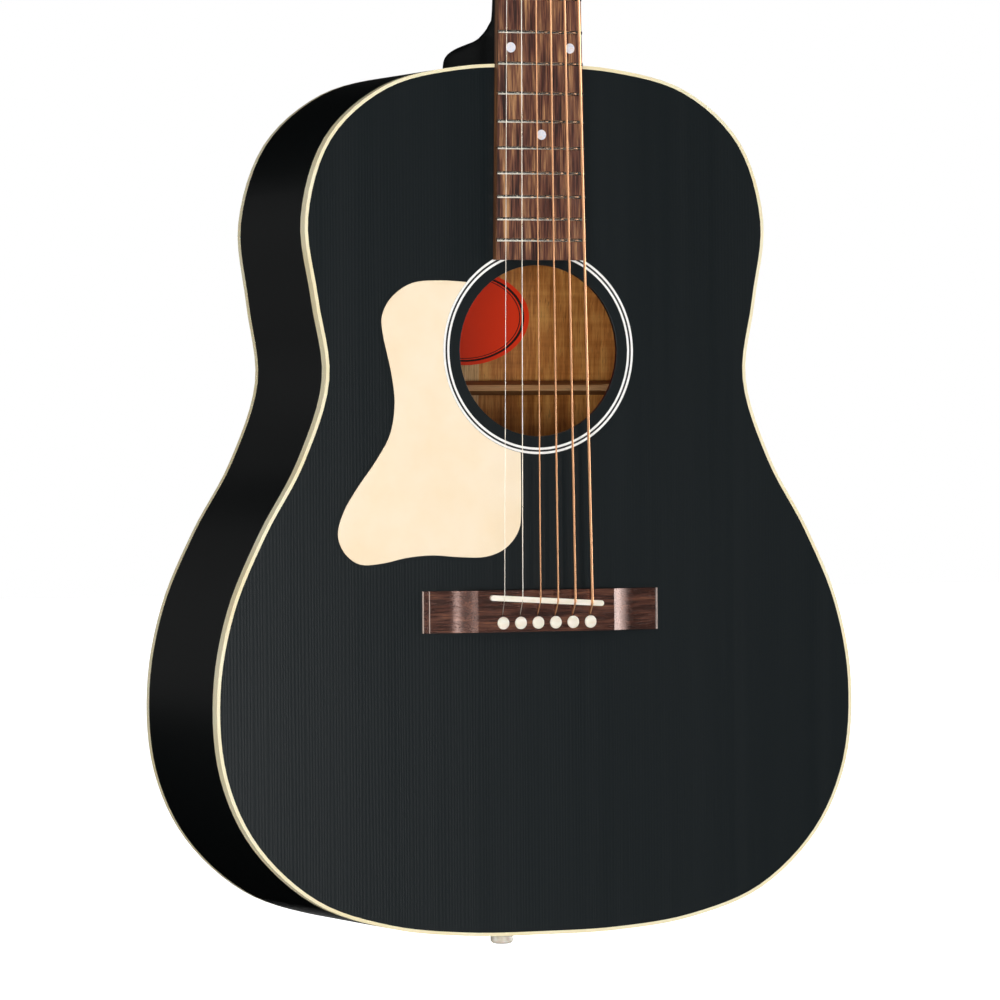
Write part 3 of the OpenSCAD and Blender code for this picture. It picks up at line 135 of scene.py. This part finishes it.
def raised(tree, shader, pattern, strength, height):
    """Raises the surface by a pattern, up to a height in metres."""
    tree.links.new(add(tree, "ShaderNodeBump", {
        "Height": pattern, "Strength": strength, "Distance": height}).outputs["Normal"],
        shader.inputs["Normal"])


def wood(name, stops, line, length, streak, axis, pore, roughness, relief, figure=0.0, **sockets):
    """Bare or oiled wood, with its sizes in metres. The growth lines are line wide and
    length long, the broader streaks are streak wide, and both run along axis. The pores
    are pore wide and relief deep. With figure, a faint mottle lies across them. Real
    pores are 0.1 to 0.3 mm wide, and are drawn two or three times as wide to show."""
    material, tree, shader, place = begin(name, stops[0][1], roughness, **sockets)

    def grain(across, along, detail, twist=0.0):
        scale = [1 / along if a == axis else 1 / across for a in "XYZ"]
        return noise(tree, place, scale, detail, twist, 0.6)

    # The lines and the streaks are added, and 0.5 is still the middle tone
    lines = add(tree, "ShaderNodeMath", {0: grain(line, length, 4), 1: 0.8, 2: -0.3},
                operation="MULTIPLY_ADD")
    streaks = grain(streak, 3 * length, 2, 0.3)
    tone = add(tree, "ShaderNodeMath", {0: streaks, 1: 0.8, 2: lines.outputs[0]},
               operation="MULTIPLY_ADD")
    if figure:
        ripple_length = 0.004
        ripple = grain(8 * streak, ripple_length, 2)
        tone = add(tree, "ShaderNodeMath", {0: ripple, 1: figure, 2: tone.outputs[0]},
                   operation="MULTIPLY_ADD")
        tone = add(tree, "ShaderNodeMath", {0: tone.outputs[0], 1: figure / 2},
                   operation="SUBTRACT")
    colour = add(tree, "ShaderNodeValToRGB", {"Fac": tone.outputs[0]}, stops)
    # A pore is 25 times as long as it is wide, and half as bright as the wood round it
    open_pore = add(tree, "ShaderNodeMapRange", {
        "Value": grain(pore, 25 * pore, 2), "From Min": 0.3, "From Max": 0.42,
        "To Min": 0.5}).outputs[0]
    mixed = add(tree, "ShaderNodeMix", {0: 1.0, 6: colour.outputs["Color"], 7: open_pore},
                data_type="RGBA", blend_type="MULTIPLY")
    tree.links.new(mixed.outputs[2], shader.inputs["Base Color"])
    raised(tree, shader, open_pore, 0.5, relief)
    return material


body_of = {node: body for body, nodes in frame["record"]["behaviour"]["bodies"].items()
           for node in nodes}


def worked(node, finishes, choose=lambda face: 0, radius=0.0, where=lambda edge: True, sharp=35):
    """Takes a node's shape, rounds the edges that where picks among those sharper than sharp
    degrees, and gives each face the finish that choose picks."""
    shape = bmesh.new()
    shape.from_mesh(frame["nodes"][node].data)
    # The node's loose triangles are joined at their corners, and then into flat faces
    bmesh.ops.remove_doubles(shape, verts=shape.verts, dist=2e-6)
    bmesh.ops.dissolve_limit(shape, angle_limit=math.radians(0.3), verts=shape.verts,
                             edges=shape.edges)
    shape.normal_update()
    if radius:
        corners = [edge for edge in shape.edges if len(edge.link_faces) == 2
                   and edge.calc_face_angle() > math.radians(sharp) and where(edge)]
        bmesh.ops.bevel(shape, geom=corners, offset=radius, offset_type="OFFSET", affect="EDGES",
                        segments=2, profile=0.5, material=-1, clamp_overlap=True)
    for face in shape.faces:
        face.material_index = choose(face)
        face.smooth = True
    mesh = bpy.data.meshes.new(node + "_worked")
    shape.to_mesh(mesh)
    shape.free()
    if "custom_normal" in mesh.attributes:
        mesh.attributes.remove(mesh.attributes["custom_normal"])
    mesh.set_sharp_from_angle(angle=math.radians(sharp))
    for finish in finishes:
        mesh.materials.append(finish)
    piece = bpy.data.objects.new(node + "_worked", mesh)
    bpy.context.scene.collection.objects.link(piece)
    even = piece.modifiers.new("even_normals", "WEIGHTED_NORMAL")
    even.keep_sharp = True
    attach(piece, body_of[node])
    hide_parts(node)


def facing(direction, least):
    """Picks the second finish for faces that look along a direction, and the first for the rest."""
    return lambda face: int(face.normal.dot(Vector(direction)) > least)


# Sprayed lacquer over filled mahogany: deep black, and only the pores still show, as
# faint dents 25 mm long. They are drawn 1 mm wide, because 0.2 mm wouldn't show
side_lacquer, tree, shader, place = begin("satin black lacquer on mahogany", "#070b0c", 0.34,
                                          Specular_IOR_Level=0.4)
raised(tree, shader, noise(tree, place, (900, 900, 40), 3), 0.25, 0.00008)

# Planed mahogany, bare: a warm, pale brown with a ribbon figure, and dry open pores
bare_mahogany = wood("bare planed mahogany", [
    (0.3, "#945826"), (0.5, "#c07c3c"), (0.7, "#dba056")],
    0.0016, 0.06, 0.012, "Z", 0.0005, 0.6, 0.0001, figure=0.3)

body_low, body_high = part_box("side_bass")
body_middle = (body_low.z + body_high.z) / 2


def inner_wall(face):
    """A side's inner wall faces the body's middle."""
    centre = face.calc_center_median()
    return int(face.normal.dot(Vector((-centre.x, 0, body_middle - centre.z)).normalized()) > 0.15)


worked("side_treble", [side_lacquer, bare_mahogany], inner_wall)
worked("side_bass", [side_lacquer, bare_mahogany], inner_wall)
worked("back", [side_lacquer, bare_mahogany], facing((0, -1, 0), 0.4))

# ---- Blocks and linings ----
# Blocks of mahogany join the sides at the neck and the tail. Strips cut almost
# through every few millimetres, so that they bend, are glued along both edges.


def finish_nodes(finish, *nodes):
    """Gives CAD nodes that are right as they are a finish."""
    for node in nodes:
        frame["nodes"][node].data.materials.clear()
        frame["nodes"][node].data.materials.append(finish)


def tinted(tree, shader, pattern, stops):
    """Colours the surface by a pattern."""
    tree.links.new(add(tree, "ShaderNodeValToRGB", {"Fac": pattern}, stops).outputs[0],
                   shader.inputs["Base Color"])


# Sawn mahogany, bare: darker and rougher than the planed wood, with coarser pores
block_mahogany = wood("sawn mahogany block", [
    (0.3, "#6f452b"), (0.5, "#93603d"), (0.7, "#b07a50")],
    0.003, 0.06, 0.015, "Z", 0.0007, 0.7, 0.0002)
finish_nodes(block_mahogany, "neck_block", "tail_block")

# Sawn strip, bare: matt and tan, crossed by the kerfs' slots, painted dark for their shade. Seen
# from the body's middle, the kerfs are 2 degrees apart, 7 mm at the lower bout, and 1 mm wide
kerf_spacing = math.radians(2)
kerf_width = 0.006
kerfed, tree, shader, place = begin("kerfed lining strip", "#b98a5c", 0.7)
apart = add(tree, "ShaderNodeSeparateXYZ", {
    "Vector": add(tree, "ShaderNodeMapping", {
        "Vector": place, "Location": (0, 0, -body_middle)}).outputs[0]})
turn = add(tree, "ShaderNodeMath", {0: apart.outputs["X"], 1: apart.outputs["Z"]},
           operation="ARCTAN2")
past_kerf = add(tree, "ShaderNodeMath", {0: turn.outputs[0], 1: kerf_spacing},
                operation="FLOORED_MODULO")
kerf = add(tree, "ShaderNodeMapRange", {
    "Value": past_kerf.outputs[0], "From Max": kerf_width}).outputs[0]
# The dark colour in each kerf is painted shade
tinted(tree, shader, kerf, [(0.0, "#3c2415"), (0.9, "#b98a5c")])
raised(tree, shader, kerf, 0.8, 0.001)
finish_nodes(kerfed, "top_lining", "back_lining")

# ---- Back braces, centre strip and label ----
# Split spruce braces arch the back, and a strip covers its centre joint. The label
# is coated paper, glued in the soundhole's view and left blank but for its border.

# Split spruce, bare: pale and straight-grained, with fine growth lines about 1 mm wide
bare_spruce = wood("bare split spruce", [
    (0.3, "#ab7447"), (0.5, "#c99765"), (0.7, "#dcb486")],
    0.0012, 0.12, 0.012, "X", 0.0004, 0.65, 0.00008)
# The braces' slopes, cut with a chisel: the same grain, with painted shade that makes them darker
# than the planed tops
shaded_spruce_slope = wood("spruce slope with painted shade", [
    (0.3, "#7a4d2c"), (0.5, "#946239"), (0.7, "#aa7a4c")],
    0.0012, 0.12, 0.012, "X", 0.0004, 0.65, 0.00008)
# Faces that look towards the top keep the pale planed finish, and the rest take the painted shade
worked("back_braces", [shaded_spruce_slope, bare_spruce], facing((0, -1, 0), 0.9))
# The same spruce with its grain along the body, a little paler from planing
long_spruce = wood("bare spruce along the body", [
    (0.3, "#bb8c57"), (0.5, "#dab07a"), (0.7, "#ebcd9c")],
    0.0012, 0.12, 0.012, "Z", 0.0004, 0.65, 0.00008)
finish_nodes(long_spruce, "back_strip")

label_low, label_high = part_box("label")
label_middle = (label_low + label_high) / 2
label_half = (label_high - label_low) / 2
# Coated paper: a flat, strong orange red, hardly glossy. Two dark lines follow its edge,
# at a share of the way out from its middle
label_paper, tree, shader, place = begin("coated label paper", "#f0380a", 0.55,
                                         Specular_IOR_Level=0.3)
oval = add(tree, "ShaderNodeMapping", {
    "Vector": place, "Scale": (1 / label_half.x, 0, 1 / label_half.z),
    "Location": (-label_middle.x / label_half.x, 0, -label_middle.z / label_half.z)})
share_out = add(tree, "ShaderNodeVectorMath", {0: oval.outputs[0]}, operation="LENGTH")
border = add(tree, "ShaderNodeValToRGB", {"Fac": share_out.outputs["Value"]}, [
    (0.0, "#f0380a"), (0.845, "#2b100c"), (0.862, "#f0380a"), (0.885, "#1c0c0a"),
    (0.925, "#f0380a")])
border.color_ramp.interpolation = "CONSTANT"
tree.links.new(border.outputs[0], shader.inputs["Base Color"])
worked("label", [label_paper])

# ---- Top ----
# The top is a pair of spruce halves under satin black lacquer. The grain still
# prints through as fine upright lines. An X of spruce and smaller bars brace it.


def dulled(tree, shader, pattern, low, high):
    """Takes the surface's roughness from low to high by a pattern."""
    tree.links.new(add(tree, "ShaderNodeMapRange", {
        "Value": pattern, "From Min": 0.3, "From Max": 0.7, "To Min": low,
        "To Max": high}).outputs[0], shader.inputs["Roughness"])


# Sprayed lacquer, rubbed to a satin: near black, with a soft sheen that the sunk growth
# rings break into fine lines. The rings are 2 mm apart
ring_spacing = 0.002
# A wave texture with a scale of 1 has a band every 0.314 m
wave_period = 0.314
top_lacquer, tree, shader, place = begin("satin black lacquer on spruce", "#071114", 0.34,
                                         Specular_IOR_Level=0.35)
straight = add(tree, "ShaderNodeMapping", {"Vector": place, "Scale": (1, 1, 0.02)}).outputs[0]
rings = add(tree, "ShaderNodeTexWave", {
    "Vector": straight, "Scale": wave_period / ring_spacing, "Distortion": 7, "Detail": 2,
    "Detail Scale": 1}, wave_type="BANDS", bands_direction="X")
raised(tree, shader, rings.outputs["Fac"], 1.0, 0.00002)
dulled(tree, shader, noise(tree, straight, 90, 2), 0.355, 0.33)
rosette_low, rosette_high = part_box("rosette")
hole_middle = (rosette_low + rosette_high) / 2
# 2 mm more than the soundhole's radius, and less than the rosette's
hole_reach = 0.053


def at_soundhole(edge):
    """The soundhole's edges are those inside the rosette."""
    centre = (edge.verts[0].co + edge.verts[1].co) / 2
    return (centre - hole_middle).xz.length < hole_reach


worked("top", [top_lacquer, long_spruce], facing((0, 1, 0), 0.5), 0.0005, at_soundhole)
finish_nodes(bare_spruce, "x_brace", "top_braces", "bridge_plate")

# ---- Rosette ----
# Two white rings with a black one between them are let into a routed channel
# and scraped level with the top.


def buffed(name, hexes, other, roughness, spread, size, stretch=(1, 1, 1), **sockets):
    """A finish whose colour and gloss wander a little, as hand work leaves it. Its patches
    are size metres across, and stretch makes them longer along an axis."""
    material, tree, shader, place = begin(name, hexes, roughness, **sockets)
    patches = noise(tree, place, [s / size for s in stretch], 3)
    tinted(tree, shader, patches, [(0.3, hexes), (0.7, other)])
    dulled(tree, shader, patches, roughness - spread, roughness + spread)
    return material


# Scraped fibre: matt, with the white a little uneven where the scraper has left it rougher
white_ring = buffed("white fibre ring", "#f8f6f0", "#fefdfa", 0.4, 0.06, 0.004)
black_ring = buffed("black fibre ring", "#0c0c0d", "#121213", 0.4, 0.06, 0.004)
rosette_breadth = 0.0039
black_reach = (rosette_high.x - rosette_low.x - rosette_breadth) / 2
black_breadth = 0.0012


def is_black_ring(face):
    """The black ring lies halfway between the rosette's inner and outer edges."""
    reach = sum((vert.co - hole_middle).xz.length for vert in face.verts) / len(face.verts)
    return int(abs(reach - black_reach) < black_breadth / 2)


worked("rosette", [white_ring, black_ring], is_black_ring)

# ---- Bindings ----
# Strips of cream plastic bound round the top's and back's edges, and scraped to a
# soft corner.

# Scraped plastic: a warm cream that light soaks into a little, and that yellows unevenly
cream_plastic, tree, shader, place = begin("cream binding plastic", "#f8ebc4", 0.32,
                                           Subsurface_Weight=0.05, Subsurface_Scale=0.002)
tinted(tree, shader, noise(tree, place, 25, 2), [(0.3, "#f5e5b9"), (0.7, "#faf0ce")])
worked("top_binding", [cream_plastic])
worked("back_binding", [cream_plastic])

# ---- Finger plate ----
# A thin ivory-coloured sheet, cut to its outline with a bevelled edge and stuck
# to the top below the soundhole.

# Cast sheet: an even, warm ivory with faint clouds of a deeper tone, and a sheen dulled
# by handling
ivory_sheet = buffed("ivory plastic sheet", "#fae3c0", "#fce9cc", 0.45, 0.05, 0.025)
worked("finger_plate", [ivory_sheet], radius=0.0004)

# ---- Neck ----
# A mahogany neck carved with its heel and head, dovetailed into the body and lacquered
# black. A cap of black plastic covers the heel's end. A steel rod with a brass nut, under
# the fretboard, holds the neck straight.
worked("neck", [side_lacquer], sharp=30)
# Moulded black plastic: glossier than the lacquer round it, with soft scuffs
cap_plastic = buffed("black cap plastic", "#111112", "#171718", 0.3, 0.06, 0.006)
worked("heel_cap", [cap_plastic], radius=0.0004)
# Drawn steel: grey, with dull streaks along the rod where the die has left them
rod_steel = buffed("drawn steel rod", "#84868a", "#96989b", 0.35, 0.08, 0.002, (1, 1, 0.05),
                   Metallic=1.0)
finish_nodes(rod_steel, "truss_rod")
# Turned brass: yellow, with bright and dull bands round it from the cutter
turned_brass = buffed("turned brass", "#bf9650", "#d0a962", 0.25, 0.07, 0.0006, (0.1, 0.1, 1),
                      Metallic=1.0)
worked("truss_rod_nut", [turned_brass], radius=0.0003)

# ---- Fretboard ----
# A rosewood board with its grain along it, planed to a crown across, glued to the neck
# and to the top, and oiled.

# Oiled rosewood: brown with dark streaks, dull, and full of open pores
board_rosewood = wood("oiled rosewood board", [
    (0.32, "#29140f"), (0.43, "#50291e"), (0.51, "#6e4330"), (0.6, "#8b5f40"), (0.7, "#b8885a")],
    0.0007, 0.02, 0.004, "Z", 0.0004, 0.45, 0.00012, Specular_IOR_Level=0.3)
# The board's planed edges: cleaner and more orange than its face
edge_rosewood = wood("rosewood board's planed edge", [
    (0.32, "#4a2a15"), (0.51, "#704525"), (0.7, "#8c5d34")],
    0.0013, 0.03, 0.004, "Z", 0.0004, 0.5, 0.00012)
worked("fretboard", [board_rosewood, edge_rosewood], lambda face: int(abs(face.normal.x) > 0.5),
       0.0005)

# ---- Frets ----
# Lengths of nickel-silver wire, hammered by their tangs into slots sawn in the board,
# filed level and polished.

# Polished nickel silver: a warm white line, with faint file marks across the wire
fret_metal = buffed("polished nickel silver", "#f6efdf", "#fdf8ec", 0.24, 0.03, 0.0008,
                    (1, 0.1, 0.1), Metallic=1.0)
finish_nodes(fret_metal, "frets")

# ---- Position dots ----
# Discs of mother-of-pearl, let into holes in the board's face and its edge, glued and
# sanded level with it.

# Polished pearl: glossy and pale, with clouds of blue and pink about 3 mm across
pearl, tree, shader, place = begin("mother of pearl", "#e6e8f0", 0.18, Coat_Weight=0.5)
tinted(tree, shader, noise(tree, place, 350, 3, 1.5),
       [(0.3, "#cfd8ea"), (0.5, "#f0eef4"), (0.7, "#e9dcd6")])
worked("position_dots", [pearl])

# ---- Nut ----
# A bar of bone at the board's end, slotted for the strings and polished, and held in
# place by a little glue and the strings' pull.

# Polished bone: off-white, with faint streaks along the bar that light soaks into
bone, tree, shader, place = begin("polished bone", "#f1e8d8", 0.3, Subsurface_Weight=0.1,
                                  Subsurface_Scale=0.001)
tinted(tree, shader, noise(tree, place, (120, 400, 400), 3), [(0.3, "#eadfc9"), (0.7, "#f6efe2")])
worked("nut", [bone], radius=0.0003)

# ---- Head ----
# A veneer of polished black sheet faces the head, and a small plate of black plastic
# covers the rod's pocket. Both are bare. Nickel-plated screws hold the plate.

# Polished black sheet: a deep gloss, with slow ripples of haze from the buffing wheel
head_gloss = buffed("polished black veneer", "#0d0d0e", "#121213", 0.18, 0.04, 0.015,
                    Coat_Weight=0.3)
worked("head_veneer", [head_gloss], radius=0.0003)
worked("rod_cover", [cap_plastic], radius=0.0005)
# Nickel plate: a warm grey metal whose shine handling has dulled in patches of 1 cm
plated, tree, shader, place = begin("nickel plate", "#dad6cd", 0.32, Metallic=1.0)
dulled(tree, shader, noise(tree, place, 90, 2), 0.28, 0.38)
worked("cover_screws", [plated], radius=0.00015)

# ---- Tuners ----
# Open tuning machines: three geared posts on each side of a pressed plate, with
# the worms' shafts in the plate's ears, and a plastic button on each shaft.
for node in ("tuner_plates", "tuner_bushings", "tuner_screws"):
    worked(node, [plated], radius=0.0002)
# Moulded plastic: glossy cream, marbled with a deeper tone in swirls about 8 mm across
button_plastic, tree, shader, place = begin("cream button plastic", "#efe2bd", 0.25,
                                            Subsurface_Weight=0.08, Subsurface_Scale=0.002)
tinted(tree, shader, noise(tree, place, 130, 2, 2), [(0.3, "#e2cf9f"), (0.7, "#f4ead0")])
for number in range(1, 7):
    worked(f"string_post_{number}", [plated], radius=0.00015)
    worked(f"worm_shaft_{number}", [plated])
    worked(f"tuner_button_{number}", [button_plastic])

# ---- Bridge ----
# A block of rosewood with its grain across the top, scooped down to thin wings, oiled
# and glued on. A slanted bone saddle stands in its slot, and bone pins hold the strings.

# Oiled rosewood, handled: darker and glossier than the board
bridge_rosewood = wood("oiled rosewood bridge", [
    (0.3, "#200f0b"), (0.43, "#341b14"), (0.53, "#45271e"), (0.64, "#5a372a"), (0.8, "#86583c")],
    0.0005, 0.012, 0.004, "X", 0.0004, 0.26, 0.00012, Specular_IOR_Level=1.0,
    Specular_Tint=linear("#ffd8cc"))
# Painted highlights on the rosewood: the ends' upright arrises are painted as pale lines 0.4 to
# 1.8 mm wide, for the light that these rounded edges reflect. Each colour holds from its distance
# along the bridge up to the next one, and white is the painted highlight
bridge_low, bridge_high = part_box("bridge")
bridge_length = bridge_high.x - bridge_low.x
painted_highlight_stops = [(0.0, "#ffffff"), (0.0004, "#000000"), (0.00245, "#ffffff"), (0.00315, "#000000"),
             (bridge_length - 0.0018, "#ffffff")]
tree = bridge_rosewood.node_tree
shader = tree.nodes["Principled BSDF"]
apart = add(tree, "ShaderNodeSeparateXYZ", {
    "Vector": add(tree, "ShaderNodeTexCoord").outputs["Object"]})
along = add(tree, "ShaderNodeMapRange", {
    "Value": apart.outputs["X"], "From Min": bridge_low.x, "From Max": bridge_high.x})
painted_highlight_mask = add(tree, "ShaderNodeValToRGB", {"Fac": along.outputs[0]},
           [(distance / bridge_length, hexes) for distance, hexes in painted_highlight_stops])
painted_highlight_mask.color_ramp.interpolation = "CONSTANT"
# The pale lines are painted highlights, mixed over the wood's own colour
painted_highlight_mix = add(tree, "ShaderNodeMix", {
    0: painted_highlight_mask.outputs[0], 6: shader.inputs["Base Color"].links[0].from_socket, 7: linear("#b9a59a")},
    data_type="RGBA")
tree.links.new(painted_highlight_mix.outputs[2], shader.inputs["Base Color"])
worked("bridge", [bridge_rosewood], radius=0.0005, sharp=20)
worked("saddle", [bone], radius=0.0002)
worked("bridge_pins", [bone])

# ---- Strings ----
# Two plain steel strings on the treble side, and four with a bronze winding. Each runs
# from its ball end under the bridge plate, over the saddle and nut, to its post.

# Drawn, tinned steel: a thin bright line, with finger marks that dull it here and there
plain_wire = buffed("drawn steel wire", "#f1e9d8", "#f9f4ea", 0.3, 0.03, 0.01, Metallic=1.0)
worked("string_1", [plain_wire])
worked("string_2", [plain_wire])
# Wound phosphor bronze: coppery, with its shine broken across by the winding's turns.
# Real ones are 0.2 to 0.5 mm apart, and these are drawn 1 mm apart so that they show
winding_spacing = 0.001
wound_wire, tree, shader, place = begin("phosphor bronze winding", "#efb385", 0.32, Metallic=1.0)
winding = add(tree, "ShaderNodeTexWave", {"Vector": place, "Scale": wave_period / winding_spacing},
              wave_type="BANDS", bands_direction="Z")
raised(tree, shader, winding.outputs["Fac"], 0.7, 0.0001)
for number in range(3, 7):
    worked(f"string_{number}", [wound_wire])

# ---- End pin ----
# A pin turned from bone, pushed into a hole in the tail block. A strap's buttonhole goes
# over its head.
worked("end_pin", [bone])

# ---- Floor and light ----
# The floor and the room are white. As round any black lacquer, black cloths stand, lie and
# hang where it would mirror them, and some lamps are there only to be mirrored.


def seen_as_drawn(tree):
    """Gives 1 where the camera, a reflection or a clear material looks, and 0 for other light."""
    path = add(tree, "ShaderNodeLightPath")
    seen = path.outputs["Is Camera Ray"]
    for ray in ("Is Transmission Ray", "Is Glossy Ray"):
        seen = add(tree, "ShaderNodeMath", {0: seen, 1: path.outputs[ray]},
                   operation="MAXIMUM").outputs[0]
    return seen


# Painted floor: white and matt, with the guitar's shadow on it close by. From 1.5 m on
# it is plain white wherever it is looked at
white_floor, tree, shader, place = begin("white floor", "#f4f4f4", 0.9)
away = add(tree, "ShaderNodeVectorMath", {0: place}, operation="LENGTH")
plain = add(tree, "ShaderNodeMapRange", {
    "Value": away.outputs["Value"], "From Min": 0.6, "From Max": 1.5, "To Min": 0.55,
    "To Max": 1.0})
glow = add(tree, "ShaderNodeEmission", {"Color": (1, 1, 1, 1), "Strength": plain.outputs[0]})
both = add(tree, "ShaderNodeAddShader", {0: shader.outputs[0], 1: glow.outputs[0]})
chosen = add(tree, "ShaderNodeMixShader", {
    0: seen_as_drawn(tree), 1: shader.outputs[0], 2: both.outputs[0]})
tree.links.new(chosen.outputs[0], tree.nodes["Material Output"].inputs["Surface"])
white_floor.cycles.emission_sampling = "NONE"
# The guitar stands on nothing: the floor is 150 mm below it
floor_height = solid_box[0].z - 0.15


def sheet_on_stage(name, finish, size, *moves):
    """A flat rectangle of the stage, moved from the origin by each matrix in turn."""
    shape = bmesh.new()
    bmesh.ops.create_grid(shape, x_segments=1, y_segments=1, size=0.5,
                          matrix=Matrix.Diagonal((*size, 1, 1)))
    for move in moves:
        bmesh.ops.transform(shape, matrix=move, verts=shape.verts)
    mesh = bpy.data.meshes.new(name)
    shape.to_mesh(mesh)
    shape.free()
    mesh.materials.append(finish)
    piece = bpy.data.objects.new(name, mesh)
    bpy.context.scene.collection.objects.link(piece)
    return piece


sheet_on_stage("floor", white_floor, (28, 28), Matrix.Translation((0, 0, floor_height)))
# Felt: black, and so rough that it gives back no light
black_felt = begin("black felt", "#040404", 1.0, Specular_IOR_Level=0.0)[0]


def flag(name, size, *moves, finish=black_felt):
    """A cloth, black unless it says otherwise, that only reflections see."""
    cloth = sheet_on_stage(name, finish, size, *moves)
    cloth.visible_camera = False
    cloth.visible_diffuse = False
    cloth.visible_transmission = False
    cloth.visible_shadow = False


def upright(azimuth, height, distance):
    """Stands a flat cloth up and takes it to an angle round from straight in front towards +X."""
    return (Matrix.Rotation(math.radians(90), 4, "X"),
            Matrix.Translation((0, -distance, height)),
            Matrix.Rotation(math.radians(azimuth), 4, "Z"))


# Each cloth has its width and height, and an upright one its angle, height and distance
flag("front right flag", (5.0, 3.6), *upright(34, 1.6, 3.6))
flag("left flag", (2.0, 2.6), *upright(-77, 0.8, 3.0))
flag("back left flag", (6.2, 3.0), *upright(-148, 1.1, 2.6))
flag("front floor flag", (6.0, 5.0), Matrix.Translation((0, -2.0, floor_height + 0.002)))
# A white card on the black cloth lights the strings where they dive behind the saddle
flag("floor card", (0.36, 0.4), Matrix.Translation((0.09, -0.32, floor_height + 0.004)),
     finish=white_floor)
flag("back floor flag", (4.4, 3.6), Matrix.Translation((-2.0, 1.8, floor_height + 0.002)))
flag("back flag", (3.2, 3.0), *upright(172, 1.1, 2.75))
flag("ceiling flag", (5.6, 3.6), Matrix.Translation((-2.0, 1.2, 2.4)))
flag("front ceiling flag", (2.4, 5.0), Matrix.Translation((1.2, -0.9, 3.0)))

# The room: white where it is looked at, and dimmer as a light, so that the lamps shape the
# guitar
world = bpy.data.worlds.new("studio")
bpy.context.scene.world = world
world.use_nodes = True
tree = world.node_tree
sky = tree.nodes["Background"]
sky.inputs["Color"].default_value = (1, 1, 1, 1)
tree.links.new(add(tree, "ShaderNodeMapRange", {
    "Value": seen_as_drawn(tree), "To Min": 0.35, "To Max": 1.0}).outputs[0],
    sky.inputs["Strength"])
world.cycles.sampling_method = "NONE"


# All lamps aim at the soundhole
aim = Vector((0, 0, 0.35))


def softbox(name, place, size, watts, lights=True, mirrored=True):
    """A soft rectangular light at a place, which is an angle round from straight in front
    towards +X, a height and a distance."""
    azimuth, height, distance = place
    lamp = bpy.data.objects.new(name, bpy.data.lights.new(name, "AREA"))
    lamp.data.shape = "RECTANGLE"
    lamp.data.size, lamp.data.size_y = size
    lamp.data.energy = watts
    turn = math.radians(azimuth)
    lamp.location = (distance * math.sin(turn), -distance * math.cos(turn), height)
    lamp.rotation_euler = (aim - lamp.location).to_track_quat("-Z", "Y").to_euler()
    lamp.visible_camera = False
    lamp.visible_diffuse = lights
    lamp.visible_glossy = mirrored
    bpy.context.scene.collection.objects.link(lamp)


# No reflection shows the key light. The strips, the fret light and the fill show only in
# reflections, on the binding, the frets and the two sides
softbox("key light", (-30, 0.12, 2.4), (0.9, 0.5), 25, mirrored=False)
softbox("front light", (-8, 1.5, 2.2), (0.9, 0.7), 3)
softbox("low light", (1, -0.05, 2.4), (0.6, 0.4), 12.5)
softbox("edge strip", (-40, 0.2, 2.2), (0.3, 0.8), 3.5, lights=False)
softbox("fret light", (24, 2.1, 2.4), (1.0, 0.4), 8, lights=False)
softbox("right strip", (94, 0.5, 2.0), (1.7, 1.4), 54, lights=False)
softbox("right fill", (64, 0.3, 2.0), (0.8, 1.2), 14, lights=False)
softbox("left strip", (-92, 0.45, 2.0), (0.9, 1.5), 34, lights=False)
softbox("side light", (-153, 0.4, 1.2), (0.4, 0.6), 0.07)
softbox("back light", (120, 1.3, 2.2), (1.2, 1.2), 12)
